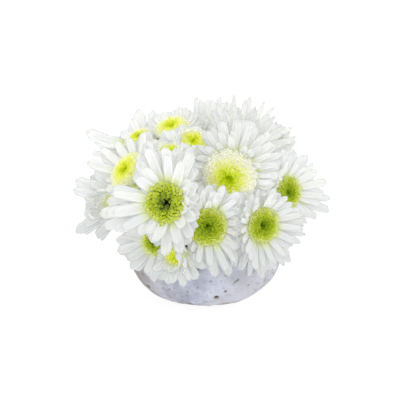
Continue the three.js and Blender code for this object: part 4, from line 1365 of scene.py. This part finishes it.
class CHRYSANTHEMUM_OT_studio(bpy.types.Operator):
    """Lays the white floor and sets the soft lights and the camera"""

    bl_idname = "chrysanthemum.studio"
    bl_label = "Studio"

    def execute(self, context):
        studio = context.scene.pot_chrysanthemum.studio
        scene = context.scene
        white = {"Emission_Color": (1, 1, 1, 1), "Emission_Strength": 0.88}
        look = Finish("studio_white", Roughness=0.9, Specular_IOR_Level=0.1, **white)
        cloud = look.noise(look.place(), 3, 2)
        floor = turned([(0, -0.004), (12, -0.004), (12, -0.0002), (0, -0.0002)], 96)
        new_object(floor.mesh("floor", look.feed(
            Base_Color=look.mix(cloud, (0.19, 0.19, 0.19), (0.21, 0.21, 0.21)))))

        target = Vector((-0.0042, 0, 0.067))
        camera = bpy.data.objects.new("camera", bpy.data.cameras.new("camera"))
        camera.data.lens = studio.focal
        camera.data.sensor_width = 36
        camera.data.clip_start = 0.01
        away = Vector((0, -math.cos(studio.elevation), math.sin(studio.elevation)))
        camera.location = target + away * studio.distance
        camera.rotation_euler = (math.pi / 2 - studio.elevation, 0, 0)
        scene.collection.objects.link(camera)
        scene.camera = camera

        light = bpy.data.objects.new("key", bpy.data.lights.new("key", "SUN"))
        light.data.energy = studio.key
        light.data.angle = math.radians(50)
        light.data.color = (0.97, 0.985, 1.0)
        light.rotation_euler = (-Vector((0.6, -0.4, 0.85))).to_track_quat("-Z", "Y").to_euler()
        scene.collection.objects.link(light)

        world = bpy.data.worlds.new("white_surround")
        world.use_nodes = True
        background = world.node_tree.nodes["Background"]
        background.inputs["Color"].default_value = (1, 1, 1, 1)
        net = Net(world.node_tree)
        overhead = net.part(net.place("Generated"), "Z").ramp(0.0, 0.9)
        strength = (overhead * 0.3 + 0.83) * studio.sky
        world.node_tree.links.new(strength.socket, background.inputs["Strength"])
        scene.world = world
        scene.view_settings.view_transform = "Standard"
        return {"FINISHED"}


class CHRYSANTHEMUM_PT_panel(bpy.types.Panel):
    """Lists the steps of the plant and its sizes"""

    bl_idname = "CHRYSANTHEMUM_PT_panel"
    bl_label = "Pot Chrysanthemum"
    bl_space_type = "VIEW_3D"
    bl_region_type = "UI"
    bl_category = "Chrysanthemum"

    def draw(self, context):
        for step in STEPS:
            self.layout.operator(step.bl_idname)
        plant = context.scene.pot_chrysanthemum
        for part in ("bowl", "soil", "stem", "petal", "studio"):
            box = self.layout.box()
            sizes = getattr(plant, part)
            for name in sizes.bl_rna.properties.keys():
                if name not in ("rna_type", "name"):
                    box.prop(sizes, name)


STEPS = (
    CHRYSANTHEMUM_OT_bowl,
    CHRYSANTHEMUM_OT_soil,
    CHRYSANTHEMUM_OT_stems,
    CHRYSANTHEMUM_OT_petals,
    CHRYSANTHEMUM_OT_discs,
    CHRYSANTHEMUM_OT_studio,
)
SIZES = (BowlSizes, SoilSizes, StemSizes, PetalSizes, StudioSizes, PotChrysanthemum)
CLASSES = (*SIZES, *STEPS, CHRYSANTHEMUM_PT_panel)


def register():
    for each in CLASSES:
        bpy.utils.register_class(each)
    bpy.types.Scene.pot_chrysanthemum = PointerProperty(type=PotChrysanthemum)


def unregister():
    del bpy.types.Scene.pot_chrysanthemum
    for each in reversed(CLASSES):
        bpy.utils.unregister_class(each)


def main():
    register()
    for step in STEPS:
        group, name = step.bl_idname.split(".")
        getattr(getattr(bpy.ops, group), name)()


if __name__ == "__main__":
    main()
